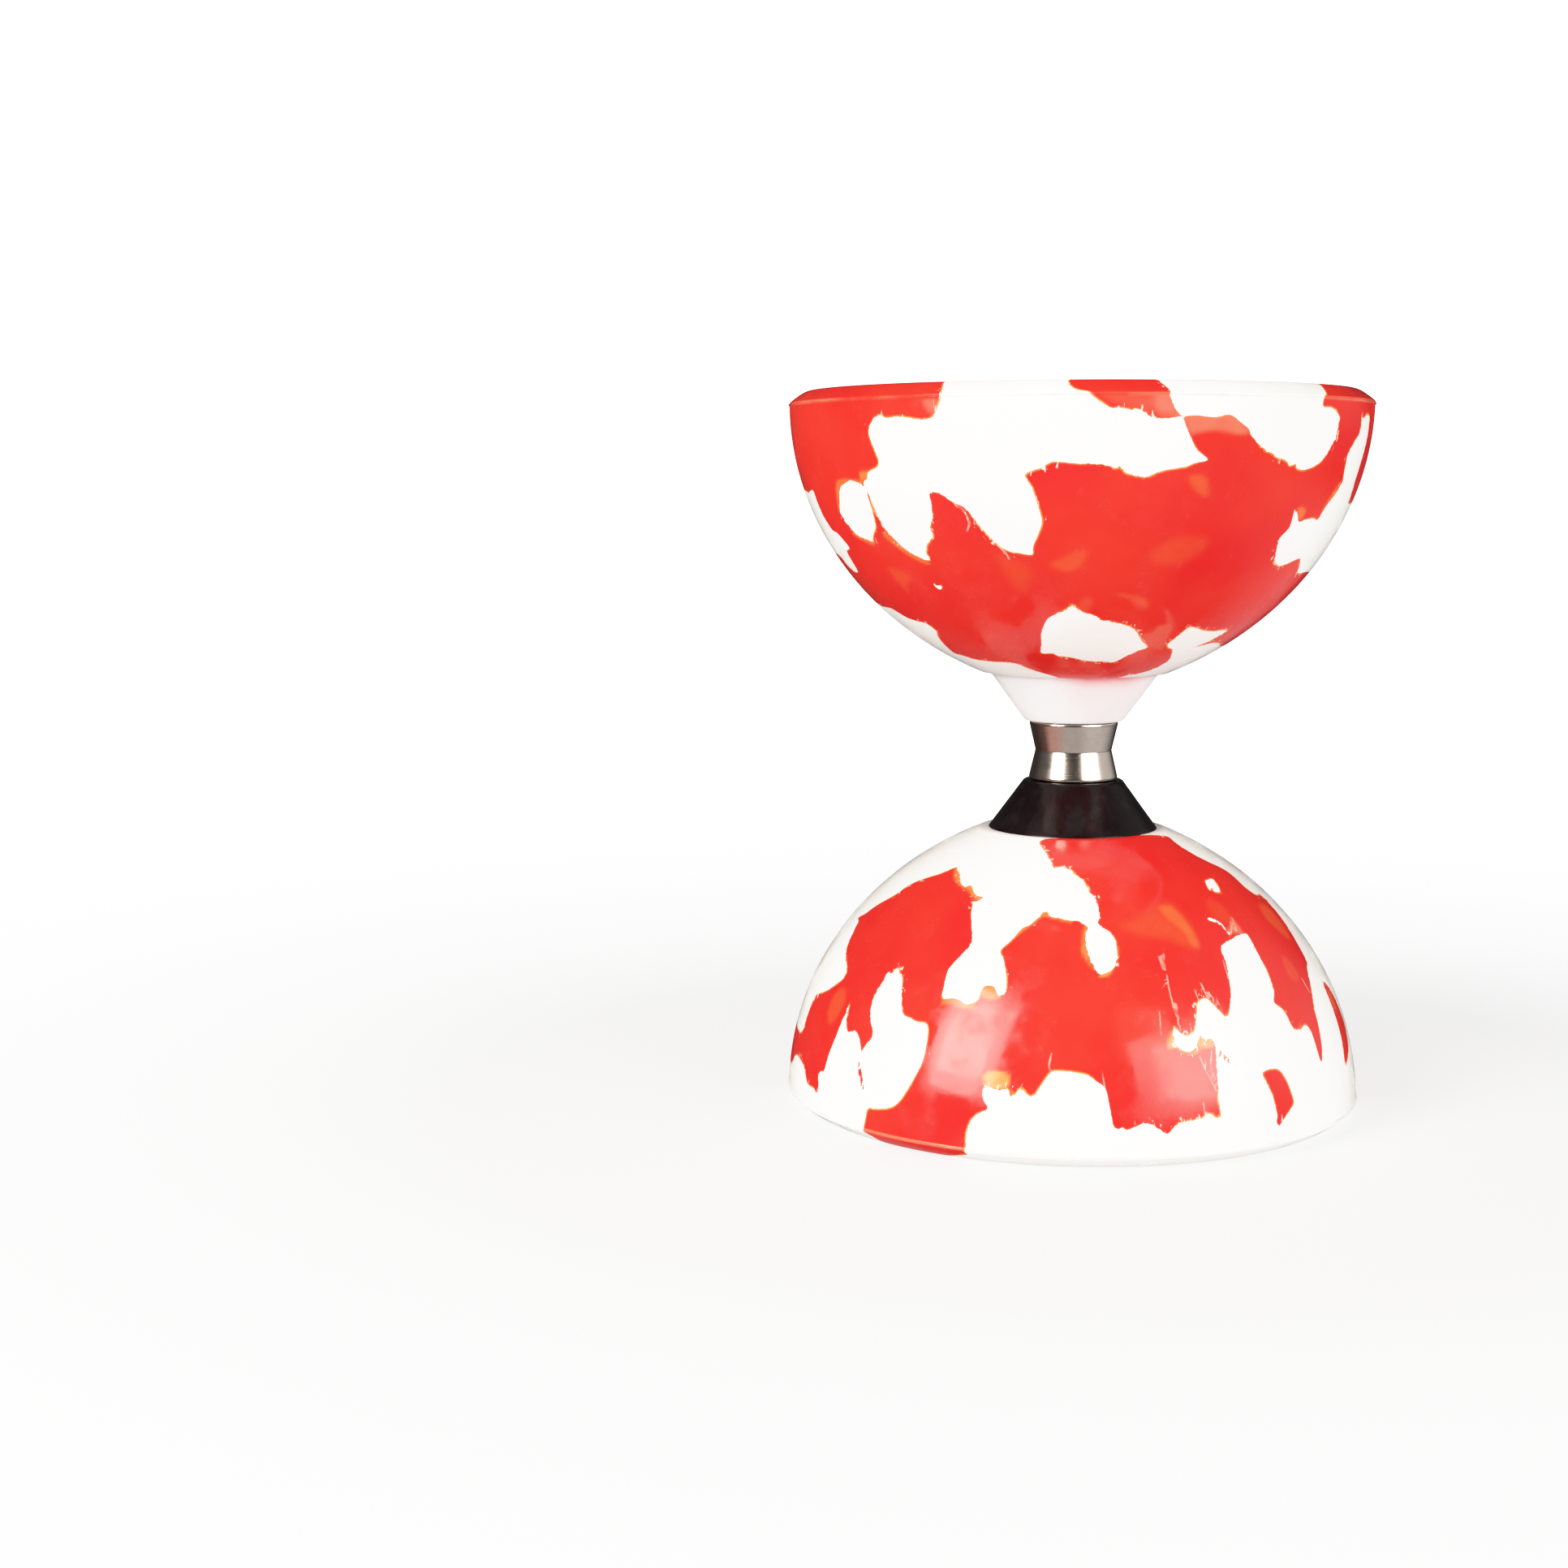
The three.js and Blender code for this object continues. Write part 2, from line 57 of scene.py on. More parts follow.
UPPER_WHITE = [
    # the big patch that hangs from the rim
    [(-25, -5), (-25, 0), (-25.6, 2), (-26.8, 4.3), (-28.7, 4.8), (-31, 4.6), (-34.6, 4.2), (-37.4, 4.4),
     (-38.7, 3.7), (-40.3, 4.3), (-41.6, 5.5), (-42, 6.9), (-41.6, 8.4), (-40.3, 11.8), (-41, 13.1),
     (-42.8, 13.6), (-44, 14.1), (-44.6, 15.3), (-45.9, 15.6), (-45.6, 16.6), (-44.9, 19), (-44.3, 22),
     (-43.5, 24.7), (-42, 26.6), (-40.3, 28.4), (-37.8, 30), (-34.6, 31.1), (-34, 30.6), (-34.3, 29.4),
     (-33.4, 27.8), (-32, 26.8), (-30.9, 25.8), (-31.2, 24.4), (-30, 22.5), (-29.5, 20.3), (-29.3, 17.8),
     (-27.8, 17.6), (-26.5, 18.1), (-24.6, 19.4), (-22.4, 20.3), (-20.9, 22.2), (-19, 24.7), (-16.8, 27.2),
     (-14.9, 28.6), (-12, 29.2), (-9.3, 29.6), (-9, 28), (-7.8, 25.6), (-6.8, 23), (-7.6, 19.7),
     (-8.4, 16.9), (-9.8, 14.7), (-8.4, 13.8), (-6.5, 13.3), (-4.9, 12.3), (-2.8, 12.3), (0, 12.6),
     (4.7, 12.8), (6.9, 13.3), (7.6, 13), (8.8, 14.1), (10.6, 14.6), (12.8, 15), (14.7, 14.1), (16.6, 13.6),
     (20, 13.1), (21.6, 12.5), (24.3, 11.9), (21.9, 10.3), (20.6, 8.4), (19.4, 6.3), (18.4, 4.7),
     (15.6, 4.8), (12.8, 4.6), (11.9, 3.9), (10.3, 3.3), (9.1, 3.5), (7.5, 3), (5.9, 3.2), (4.4, 2.4),
     (2.8, 1.4), (1.6, 0.3), (-0.9, -0.6), (-2.1, -2.6), (-2.1, -5)],
    # right of it, also from the rim
    [(16.7, -5), (16.4, 0), (16.1, 0.9), (16.9, 2.5), (18.3, 4.3), (21.3, 4.3), (25, 4.6), (27, 4.1),
     (28.4, 4.3), (30, 5.3), (32.1, 6.6), (32.5, 7.5), (35, 9.4), (37.5, 10.6), (40, 11.6), (41.9, 11.9),
     (43.1, 12.8), (44.7, 12.5), (45.3, 13.3), (47.5, 13.6), (50, 13), (52.2, 12), (53.8, 10.6), (55, 8.9),
     (56.1, 7.5), (56.1, 5.3), (56.5, 4.3), (55, 3.1), (53.1, 2.5), (50.3, 2.4), (50.5, 0.6), (51.6, -0.3),
     (51.9, -5)],
    # small oval at the left
    [(-50, 15.4), (-48, 15.8), (-46.5, 16.3), (-45.9, 17.2), (-45.6, 20), (-45.9, 22.5), (-46.5, 24.4),
     (-48, 25.6), (-49.1, 26.6), (-49.6, 27.4), (-51.5, 26.9), (-54, 26.3), (-55.6, 25.3), (-57.1, 23.1),
     (-57.9, 21.6), (-56.5, 19.7), (-55.3, 17.8), (-54, 16.6), (-52, 16)],
    # left edge
    [(-98, 18), (-77.8, 17.4), (-74.6, 17.8), (-69.3, 17.2), (-69.1, 19), (-69, 22), (-68, 24), (-67, 25.3),
     (-64.6, 25.9), (-62.8, 27.5), (-62, 29), (-64.6, 29.5), (-65.4, 30.3), (-65.9, 32.5), (-66.8, 34.3),
     (-69.6, 34.4), (-72.8, 33), (-75.3, 30.6), (-98, 29)],
    # speck
    [(-36.2, 36.4), (-35, 36.7), (-33.8, 36.3), (-34.4, 37.2), (-35.8, 37.6)],
    # lower left, running under the hub
    [(-98, 43), (-72, 43.1), (-65, 43.3), (-62.4, 44.4), (-60, 45.5), (-56, 46.3), (-51.5, 46.8),
     (-50, 48.9), (-53, 50.7), (-56.5, 54.4), (-57.8, 56.6), (-54, 57.2), (-50, 58.1), (-46.5, 58.6),
     (-40, 58.9), (-28, 58.9), (-24.6, 60), (-21.5, 61.6), (-17.8, 62.8), (-14, 63.8), (-8, 66), (-5, 69),
     (-98, 69)],
    # low centre
    [(-1, 40.8), (-2.1, 41.8), (-4.6, 42.8), (-6.8, 43.8), (-8.1, 44.8), (-9, 46.3), (-10.3, 48.4),
     (-11.2, 51.9), (-12.4, 54.7), (-8, 54.7), (-6.5, 55.5), (-4, 55.8), (0, 56.3), (3.8, 57.2), (7.5, 57.5),
     (12.5, 57.7), (16.4, 58), (18.1, 56.9), (20.6, 55.3), (23.1, 53.8), (25.8, 52.8), (23.1, 51.3),
     (20, 49.1), (18.1, 47.5), (15.9, 46.4), (12.5, 45.5), (9.4, 44.9), (6.9, 44.4), (5, 43.3), (2.5, 42.6),
     (0.9, 41.8)],
    # low right
    [(35.6, 46.9), (38.8, 47.2), (42.5, 48), (47.5, 48.4), (54.4, 48.2), (55.1, 48.8), (53.1, 50.6),
     (51.2, 51.9), (46.9, 53.4), (50, 53.1), (55, 52.4), (59.4, 52.5), (64.4, 53.1), (70, 54), (98, 55),
     (98, 69), (25, 69), (30, 64.4), (35, 63.8), (38.8, 62.8), (41.9, 61.3), (43.1, 59.4), (42.5, 57.5),
     (40, 55.6), (37.5, 53.8), (34.1, 52.8), (33.1, 51.6), (34.3, 49)],
    # right edge
    [(48.3, 20.8), (50, 21.9), (51.4, 23.3), (53.1, 23), (56.3, 22.6), (58.9, 23.1), (59.4, 21.6),
     (60.3, 20), (61.9, 18.4), (63.8, 15.9), (63.1, 13.8), (62.7, 10.5), (65, 8.1), (66.6, 6.9), (67.2, 5.3),
     (66.9, 3.6), (68.4, 4.1), (70, 3.4), (72.2, 3.3), (73.1, 4.4), (73.3, 7.5), (72.8, 10), (72.2, 13.8),
     (72.5, 16.3), (73.8, 18.8), (75.6, 20), (98, 20), (98, 34), (75, 34.1), (70, 34.2), (65.9, 34.2),
     (63.8, 32.8), (61.9, 31.4), (60, 30.8), (55.6, 31.9), (52.8, 32.3), (49.7, 30.9), (48.1, 28.4),
     (47.3, 26.6), (49.1, 24.3)],
]
LOWER_WHITE = [
    # from under the hub down the left half
    [(-13.4, 69), (-13.4, 66.5), (-18.7, 64.4), (-15.3, 62.4), (-12.1, 60.8), (-10.3, 59.4), (-8.4, 58),
     (-7.4, 56.6), (-5.6, 56.9), (-4, 57.2), (-2.1, 56.7), (0, 56.1), (0.6, 55.5), (2.2, 54.6), (4.1, 53.6),
     (5.1, 52.4), (5.9, 50.8), (7.5, 49.2), (8, 47.4), (8.1, 45.2), (7.5, 44.2), (6.3, 43.8), (4.7, 43),
     (2.5, 43.9), (0, 44.2), (-3.4, 44.7), (-5.9, 45), (-6.6, 46), (-8.1, 45.9), (-9, 44.9), (-11.2, 43),
     (-13.1, 42.1), (-15.6, 39.1), (-17.4, 37.3), (-15.9, 35.5), (-14.6, 32.7), (-14.1, 30.5), (-14.4, 29.6),
     (-15.3, 28.5), (-16.2, 29.6), (-17.1, 30.4), (-19, 30.3), (-19.6, 29.2), (-19.9, 27.7), (-20.9, 26.9),
     (-22.4, 26.6), (-24, 27.2), (-25.9, 27.4), (-28.2, 27.1), (-28.7, 29.9), (-29, 32.1), (-28.2, 33.9),
     (-26.8, 35.8), (-25.4, 38.3), (-27.4, 41.8), (-29.3, 44.3), (-30.2, 46.1), (-31.2, 46.9), (-29.6, 47.1),
     (-28.2, 48.2), (-30.6, 48.4), (-32.4, 49.1), (-34, 50), (-35.6, 50.7), (-37.1, 50.2), (-39.6, 50.6),
     (-41.5, 51.6), (-44, 52.8), (-47.1, 53.8), (-49, 54.4), (-50.9, 53.5), (-53.4, 52.1), (-57.1, 50.8),
     (-60.9, 49.2), (-64, 47.4), (-65.2, 45.2), (-68.4, 43), (-71.5, 40.8), (-73.4, 38.9), (-76.5, 37.4),
     (-73.4, 36.8), (-70.6, 33.9), (-67.8, 31.1), (-62.4, 28.6), (-60.9, 27.1), (-62.1, 25.5), (-65.2, 23.5),
     (-68.7, 22.1), (-72.1, 20.8), (-72.8, 16.8), (-73.4, 13), (-84, 13), (-98, 14), (-98, 69)],
    # flame shape and the lower left rim
    [(-29.3, 18), (-29.6, 20.8), (-30.6, 22.2), (-32.8, 22.1), (-34.9, 22.7), (-36.8, 23.1), (-38.1, 24.9),
     (-39.3, 27.4), (-40.6, 29.6), (-42.4, 30.5), (-42.6, 31.3), (-43.7, 30.8), (-44.3, 29.8), (-45.6, 30.2),
     (-45.9, 28), (-46.7, 24.9), (-46, 22.1), (-44.6, 19.9), (-43.2, 18.2), (-44.3, 16.4), (-45.6, 14.6),
     (-46.5, 16.4), (-48.4, 17.9), (-49.9, 17.8), (-51.2, 17.4), (-52.8, 18.9), (-53.3, 20.6), (-54, 22.5),
     (-53.9, 20.8), (-54.3, 19.6), (-54.8, 16.1), (-55.9, 12.4), (-56.6, 8.9), (-58.1, 8.6), (-58.7, 7.4),
     (-58.1, 6.1), (-58.5, 4.1), (-60.3, 4.8), (-63.4, 4.9), (-65.3, 6.4), (-67.1, 7.7), (-70.3, 8.3),
     (-72.8, 8.5), (-75.3, 7.7), (-79, 5.5), (-98, 4), (-98, -5), (-42.3, -5), (-42.3, 0.5), (-41.8, 3),
     (-41.4, 5), (-39.9, 5.1), (-37.1, 5.6), (-34.9, 6.4), (-33.4, 7.7), (-31.2, 11.4), (-29.6, 14.9)],
    # lower right, along the rim
    [(-19.1, -5), (-19.1, -1), (-19, 1.8), (-18.7, 4.3), (-18.1, 6.1), (-16.8, 7.4), (-14.9, 8.5),
     (-15.9, 9.9), (-16.2, 11.4), (-15.9, 12.4), (-14.6, 12.2), (-12.8, 11.8), (-11.5, 12.4), (-10.9, 11.4),
     (-10.4, 10.5), (-9.6, 11.8), (-8.7, 12.4), (-7.4, 11.3), (-6.2, 11.4), (-4.9, 13.5), (-3.7, 15.2),
     (-2.8, 15.8), (0, 15.8), (3.4, 15.3), (5, 14.3), (6.6, 13.3), (7.2, 11.8), (7.8, 8.6), (8.3, 6.3),
     (9.4, 5.8), (10, 6.1), (10.9, 5.6), (14.1, 6.8), (16.6, 5.8), (18.4, 4.7), (20.3, 6.4), (25, 6.9),
     (26.9, 7.7), (29.2, 6.6), (29.1, 10.5), (29.4, 14.9), (29.9, 18.6), (29.9, 20), (29.1, 21),
     (27.5, 20.8), (27, 21.8), (25.6, 19.6), (24.1, 18.9), (21.6, 19.9), (21.1, 21.8), (21.6, 23.3),
     (22.8, 21.9), (24.7, 21.8), (26.3, 23), (27.2, 25.5), (28.1, 27.4), (30, 28.1), (31.6, 27.1),
     (32.8, 25.5), (34.4, 24.3), (36.9, 28), (38.1, 31.1), (39.3, 34.6), (40, 37.4), (45, 38.6),
     (48.8, 39.1), (51.6, 38.9), (51.1, 34.9), (50.8, 30.5), (50, 27.4), (48.6, 25.6), (50.8, 23.6),
     (51.9, 20.2), (54.4, 19.6), (56.6, 20.2), (58, 18.6), (58.4, 14.9), (58.9, 12.5), (60.6, 14.9),
     (61.9, 18.6), (63.1, 22.4), (65, 24.9), (67.2, 27.4), (69.4, 29.3), (71.9, 30.5), (73.8, 34.3),
     (76.3, 38), (78.1, 41.1), (80, 43.6), (98, 45), (98, -5)],
    # upper right
    [(55, 69), (55, 66), (62.5, 65), (68.8, 63.9), (66.3, 62.4), (64.7, 60.5), (65.6, 57.7), (68.1, 55.5),
     (71.3, 53.6), (73.1, 52.1), (73.1, 50.2), (72.2, 47.7), (74.4, 45.5), (78.1, 45.2), (80, 43.6),
     (98, 45), (98, 69)],
    # oval
    [(6.6, 43.8), (9.4, 42.3), (11.1, 40.8), (11.4, 38.6), (11.1, 36.4), (10, 34.6), (7.2, 33.4),
     (5.9, 34.3), (4.7, 36.4), (3.9, 39.3), (4.1, 41.8), (5, 43)],
    # small marks at the right
    [(50.3, 49.3), (52.2, 51.3), (54.4, 51.6), (57.4, 51.6), (56.3, 49.9), (54.4, 48.5), (51.9, 48.8),
     (52.8, 49.9)],
    [(40.6, 43), (41.6, 43.5), (43.4, 43), (44.7, 41.8), (45.5, 39.6), (44.9, 39.3), (44.4, 41.1),
     (43.1, 42.3)],
]
LOWER_RED = [
    [(40, 13.5), (42.5, 14.1), (44.7, 13.6), (46.3, 11.4), (47.2, 8.9), (47.6, 7.1), (45, 5.2), (43, 3.6),
     (42.3, 4.6), (42.6, 5.8), (41.6, 9.6)],
    [(30.1, 19.4), (31.3, 18), (33.1, 16.4), (34.3, 15.4), (32.2, 16.3), (30.6, 17.7)],
    [(74.7, 25), (77.5, 25), (80, 22), (81, 16), (78, 12), (71.6, 9.6), (72.8, 14.3), (73.8, 19.3)],
    [(-45.7, 13.1), (-45, 12.4), (-43.6, 10), (-42.4, 7), (-44, 9), (-45.3, 11.3)],
]

# Orange glows, where the two colours have melted together: softness of the edge in mm, strength, outline
UPPER_GLOWS = [
    (0.5, 0.21, [(21, 14.6), (24, 14.8), (25.3, 17), (25.2, 18.6), (23, 17.6), (21.2, 15.8)]),
    (1.4, 0.11, [(16, 29), (20, 26.5), (25, 25.8), (28, 27), (27, 29), (24, 31), (20, 31.5), (17, 31)]),
    (0.7, 0.15, [(-5.5, 31.5), (-3, 30.3), (0, 28.8), (2.3, 29.2), (1.5, 31), (0.3, 32.5), (-3, 33)]),
    (1.4, 0.09, [(-17, 30), (-12, 31), (-10, 33.5), (-11.5, 36.5), (-14, 37), (-16, 34)]),
    (0.8, 0.12, [(-49, 33), (-45, 33.5), (-43, 34.8), (-46, 37), (-47.5, 38.8), (-48.5, 36)]),
    (0.7, 0.08, [(1.5, 39), (3.5, 38.6), (4, 41), (2.5, 42.5), (1, 41.5)]),
    (0.4, 0.12, [(10, 38), (13, 38.2), (15.5, 38.5), (17.5, 39.3), (19, 41.2), (17, 41), (14.5, 39.8)]),
    (0.3, 0.45, [(-56.2, 17), (-55, 15.6), (-52, 15.1), (-46.3, 15.6), (-46, 16.8), (-50, 15.8), (-54, 17.2),
        (-57.8, 21.5), (-58.3, 21)]),
    (0.4, 0.6, [(-46.5, 14), (-44, 13.8), (-43.5, 14.6), (-46, 15.6)]),
    (0.5, 0.45, [(59, 21), (60.8, 17.5), (63, 16), (62.5, 18.5), (60.5, 20.5)]),
    (0.5, 0.5, [(49.2, 20.8), (50.5, 20.5), (52.3, 21.2), (52, 22.8), (50.6, 22.6)]),
    (0.3, 0.5, [(-44, 25.5), (-38.5, 29.8), (-35, 31), (-35, 32), (-39.5, 30.2), (-44.5, 26.5)]),
    (0.3, 0.4, [(-55.5, 25.3), (-52, 26.8), (-49.5, 27.5), (-50, 28.2), (-53, 27.4), (-56.5, 26)]),
]
LOWER_GLOWS = [
    (1.4, 0.13, [(14, 43), (19, 44.5), (25, 46.5), (29, 47.8), (32, 47.2), (33.5, 44), (34, 41), (32, 37.6),
        (26, 39.8), (20, 40.8)]),
    (0.8, 0.34, [(26.5, 46.8), (31, 47), (33, 44.2), (34, 40.5), (33.3, 37.8), (31.5, 38.3), (30.5, 41.5),
        (27.5, 44)]),
    (0.9, 0.09, [(43.5, 44.5), (45, 47), (49, 47), (50.5, 44), (48, 42), (45, 42.5)]),
    (0.9, 0.22, [(66, 40.5), (68, 43.3), (72, 43.5), (74, 42), (73, 38), (71, 35.5), (68.5, 36.5)]),
    (0.6, 0.13, [(58.5, 31), (60, 33.3), (62, 32.5), (63, 29.5), (61, 28), (58.5, 29)]),
    (0.5, 0.75, [(3, 39.5), (3.6, 42.5), (4.6, 43.6), (4.2, 41), (4.1, 37.5), (5.5, 34.5), (4, 36),
        (2.8, 37.8)]),
    (0.3, 0.9, [(6.6, 33), (9, 33.4), (11, 36.2), (11.7, 39), (10.8, 37), (9, 34.6)]),
    (0.7, 0.17, [(-60, 24.5), (-57.5, 24.5), (-56, 22.5), (-57, 19), (-59, 17.5), (-61.5, 19.5),
        (-61.8, 22.5)]),
    (0.3, 1.0, [(-16.3, 14.2), (-15, 15.2), (-11.8, 15), (-11.3, 13.3), (-12.2, 12.2), (-15.5, 12),
        (-16, 13)]),
    (0.3, 0.7, [(-20, 30.4), (-16.5, 30.3), (-15.1, 28.4), (-17, 27.8), (-20.3, 28.6)]),
    (0.35, 0.7, [(-49.5, 54.6), (-45, 53.2), (-40, 51.3), (-36, 50.9), (-33, 50), (-28.2, 48.5),
        (-29.6, 47.2), (-33, 48.6), (-36, 49.6), (-40, 50.3), (-45, 51.9)]),
    (0.25, 0.55, [(-16.8, 38), (-14, 41.7), (-10, 44.6), (-8, 46.3), (-6, 46), (-3, 44.8), (0, 44.5),
        (0, 43.7), (-6, 44.7), (-8, 44.9), (-10, 43.4), (-13.5, 40.8)]),
    (0.25, 0.55, [(-27.7, 27.5), (-24, 27.4), (-20.5, 26.6), (-20.3, 25.6), (-26, 26.2), (-28, 26)]),
    (0.3, 0.85, [(19.5, 20.5), (21, 22.7), (21.9, 22), (21.6, 20), (20, 19.6)]),
    (0.3, 0.85, [(26.2, 21.5), (27, 22.6), (27.8, 21.2), (29.5, 21.2), (29.6, 19.4), (27.5, 19.3),
        (26, 19.8)]),
    (0.25, 0.55, [(22, 19.2), (24, 18.4), (26, 18.6), (26, 19.6), (24, 19), (22, 19.8)]),
    (0.4, 0.35, [(30, 19.6), (34.3, 15.2), (33, 15.2), (30.3, 18)]),
    (0.8, 0.25, [(75, 23.5), (78, 23.5), (77.5, 20), (75, 20)]),
]
# Paler places, where white lies just under the red. The upper cup's last two, under the hub, are painted
# reflections of the bright hub and spool
UPPER_VEILS_AND_REFLECTIONS = [
    (0.6, 0.27, [(18.6, 4.4), (28.5, 4.1), (31.5, 6.3), (32, 7.3), (29.5, 7.4), (27, 7), (25, 6.8),
        (22, 7.2), (20.2, 7.5), (19.2, 5.8)]),
    (1.0, 0.22, [(13.5, 0.9), (17, 0.9), (18.5, 4.4), (15, 4.6), (13, 2.6)]),
    (1.2, 0.10, [(4, 0.8), (13, 0.8), (14, 3.6), (9, 3.2)]),
    (0.6, 0.20, [(-26.2, 1.6), (-28.6, 1.5), (-28, 3.2), (-26.2, 4)]),
    (0.45, 0.12, [(24.5, 42), (27, 44.5), (29.5, 47), (31, 50.5), (33, 53.8), (30, 53.5), (26.5, 52.5),
        (24, 51.5), (21, 49.5), (21.5, 48.4), (24, 48.2), (24.5, 46.2), (27.5, 45.9), (26.3, 44), (25, 43)]),
    (1.0, 0.03, [(19, 56.5), (22, 54.5), (26, 53.2), (33, 54.5), (40, 57), (43, 60), (38, 62.5), (30, 62),
        (26, 60), (24, 58.3), (20, 58.8)]),
    # painted reflections of the bright hub and spool on the cup's underside, not white under the red
    (0.7, 0.06, [(-7, 57), (-4, 56.6), (-2, 57.5), (-2, 59.7), (-5, 60.2), (-7, 59)]),
    (0.7, 0.06, [(2, 57.6), (8, 58), (10, 59), (8, 60), (3, 59.8)]),
]
LOWER_VEILS = [
    (0.5, 0.30, [(45.5, 40.3), (48, 41.5), (50, 42.8), (50.5, 40.5), (50, 39.2)]),
    (1.5, 0.03, [(10, 27), (19, 26.5), (20, 22), (16, 18), (10, 18)]),
]
# Pale streaks where the colours were dragged: width in mm, then the line
UPPER_STREAKS = [
    (0.55, [(-29, 17.4), (-27, 17.7), (-25, 18.9), (-23.6, 20.4)]),
    (0.5, [(-23.2, 20), (-22.2, 21.8), (-21.8, 23.6), (-22.4, 24.6)]),
    (0.4, [(-16.4, 27.8), (-15.2, 29), (-14.6, 30.2)]),
]
LOWER_STREAKS = [
    (0.9, [(21.9, 36.2), (22.2, 34.6)]),
    (0.3, [(23, 36.8), (22.7, 34.5)]),
    (0.35, [(22.3, 32.6), (22.1, 29), (22.4, 26), (22.8, 23)]),
    (0.5, [(22.9, 27), (22.6, 24)]),
    (0.25, [(20.8, 30.8), (21.9, 31.6)]),
    (0.3, [(18.9, 26), (18.6, 22.5)]),
    (0.3, [(6.4, 15.6), (6.7, 13.2)]),
    (0.4, [(-3.4, 18.6), (-3.8, 16.4), (-3.2, 15.8)]),
    (0.3, [(-8.8, 13), (-9.4, 11.8)]),
    (0.45, [(26.2, 17.5), (27.2, 14.8), (28.6, 12)]),
    (0.3, [(28.8, 18.5), (28.2, 15.8), (29, 13.2)]),
    (0.35, [(25.8, 9.6), (26, 7.4)]),
    (0.4, [(30.3, 30.6), (30.8, 27.6)]),
    (0.35, [(31.5, 29), (32.4, 26.4)]),
    (0.3, [(33, 27.8), (33.4, 25.8)]),
    (0.35, [(28.2, 29.6), (28.5, 27.8)]),
    (0.3, [(38.6, 34.5), (38, 31.5)]),
    (0.4, [(48.6, 42), (46.4, 40)]),
    (0.3, [(50, 42.4), (48.6, 40.2)]),
    (0.35, [(44.6, 42.2), (44.9, 39.8)]),
    (0.3, [(-26.6, 34.2), (-28.4, 33)]),
    (0.3, [(63.6, 28), (64, 25.5)]),
]

FAR = 6.0                  # mm; distances beyond this are cut off
LIMB_START, LIMB_END = 86, 99      # azimuths between which the front's marbling gives way to the back's
STROKE_UNIT = 0.35         # mm; places across a stroke are scaled as if each stroke were this wide


def smoothstep(low, high, value):
    x = np.clip((value - low) / (high - low), 0, 1)
    return x * x * (3 - 2 * x)


def smooth_outline(outline, steps, closed=True):
    """Points on a soft curve through the outline's points."""
    p = np.array(outline, float)
    if closed:
        p = np.vstack([p[-1], p, p[:2]])
    else:
        p = np.vstack([2 * p[0] - p[1], p, 2 * p[-1] - p[-2]])
    tension = 0.42
    curve = []
    for a, b, c, d in zip(p[:-3], p[1:-2], p[2:-1], p[3:], strict=True):
        leave, arrive = tension * (c - a), tension * (d - b)
        for s in np.arange(steps) / steps:
            curve.append(
                (2 * s**3 - 3 * s**2 + 1) * b + (s**3 - 2 * s**2 + s) * leave
                + (3 * s**2 - 2 * s**3) * c + (s**3 - s**2) * arrive
            )
    curve.append(p[-2])
    return np.array(curve)


def distance_to(line, azimuth, angle, radius):
    """How far in mm each wall point is from a line of places, and whether the line goes round it."""
    along = radius * math.pi / 180
    best = np.full(len(azimuth), FAR * FAR)
    inside = np.zeros(len(azimuth), bool)
    for (a0, t0), (a1, t1) in zip(line[:-1], line[1:], strict=True):
        x0, y0 = (a0 - azimuth) * along, t0 - angle
        dx, dy = (a1 - a0) * along, t1 - t0
        length2 = np.maximum(dx * dx + dy * dy, 1e-12)
        s = np.clip(-(x0 * dx + y0 * dy) / length2, 0, 1)
        best = np.minimum(best, (x0 + s * dx) ** 2 + (y0 + s * dy) ** 2)
        if t0 != t1:
            crosses = (t0 > angle) != (t1 > angle)
            inside ^= crosses & (azimuth < a0 + (angle - t0) / (t1 - t0) * (a1 - a0))
    return np.sqrt(best), inside


def near(outline, azimuth, angle, radius):
    """Which wall points lie close enough to an outline for its distance to matter."""
    p = np.array(outline, float)
    margin = FAR / np.maximum(radius * math.pi / 180, 0.05)
    return (
        (azimuth > p[:, 0].min() - margin) & (azimuth < p[:, 0].max() + margin)
        & (angle > p[:, 1].min() - FAR) & (angle < p[:, 1].max() + FAR)
    )


def depth_inside(outline, steps, azimuth, angle, radius):
    """The wall points near an outline, and how far in mm each lies inside it. Outside it is below 0."""
    pick = near(outline, azimuth, angle, radius)
    line = smooth_outline(outline, steps)
    distance, inside = distance_to(line, azimuth[pick], angle[pick], radius[pick])
    return pick, np.where(inside, distance, -distance)


def marbling(white, red, *places):
    """Signed distance in mm to the edge of the white: above 0 the rubber is white."""
    steps = 3
    field = np.full(len(places[0]), -FAR)
    for outline in white:
        pick, depth = depth_inside(outline, steps, *places)
        field[pick] = np.maximum(field[pick], depth)
    for outline in red:
        pick, depth = depth_inside(outline, steps, *places)
        field[pick] = np.minimum(field[pick], -depth)
    return field


def patches(spots, *places):
    """How strongly the soft patches show, from 0 to their own strength."""
    total = np.zeros(len(places[0]))
    for softness, strength, outline in spots:
        pick, depth = depth_inside(outline, 3, *places)
        total[pick] = np.maximum(total[pick], strength * smoothstep(-softness, softness, depth))
    return total


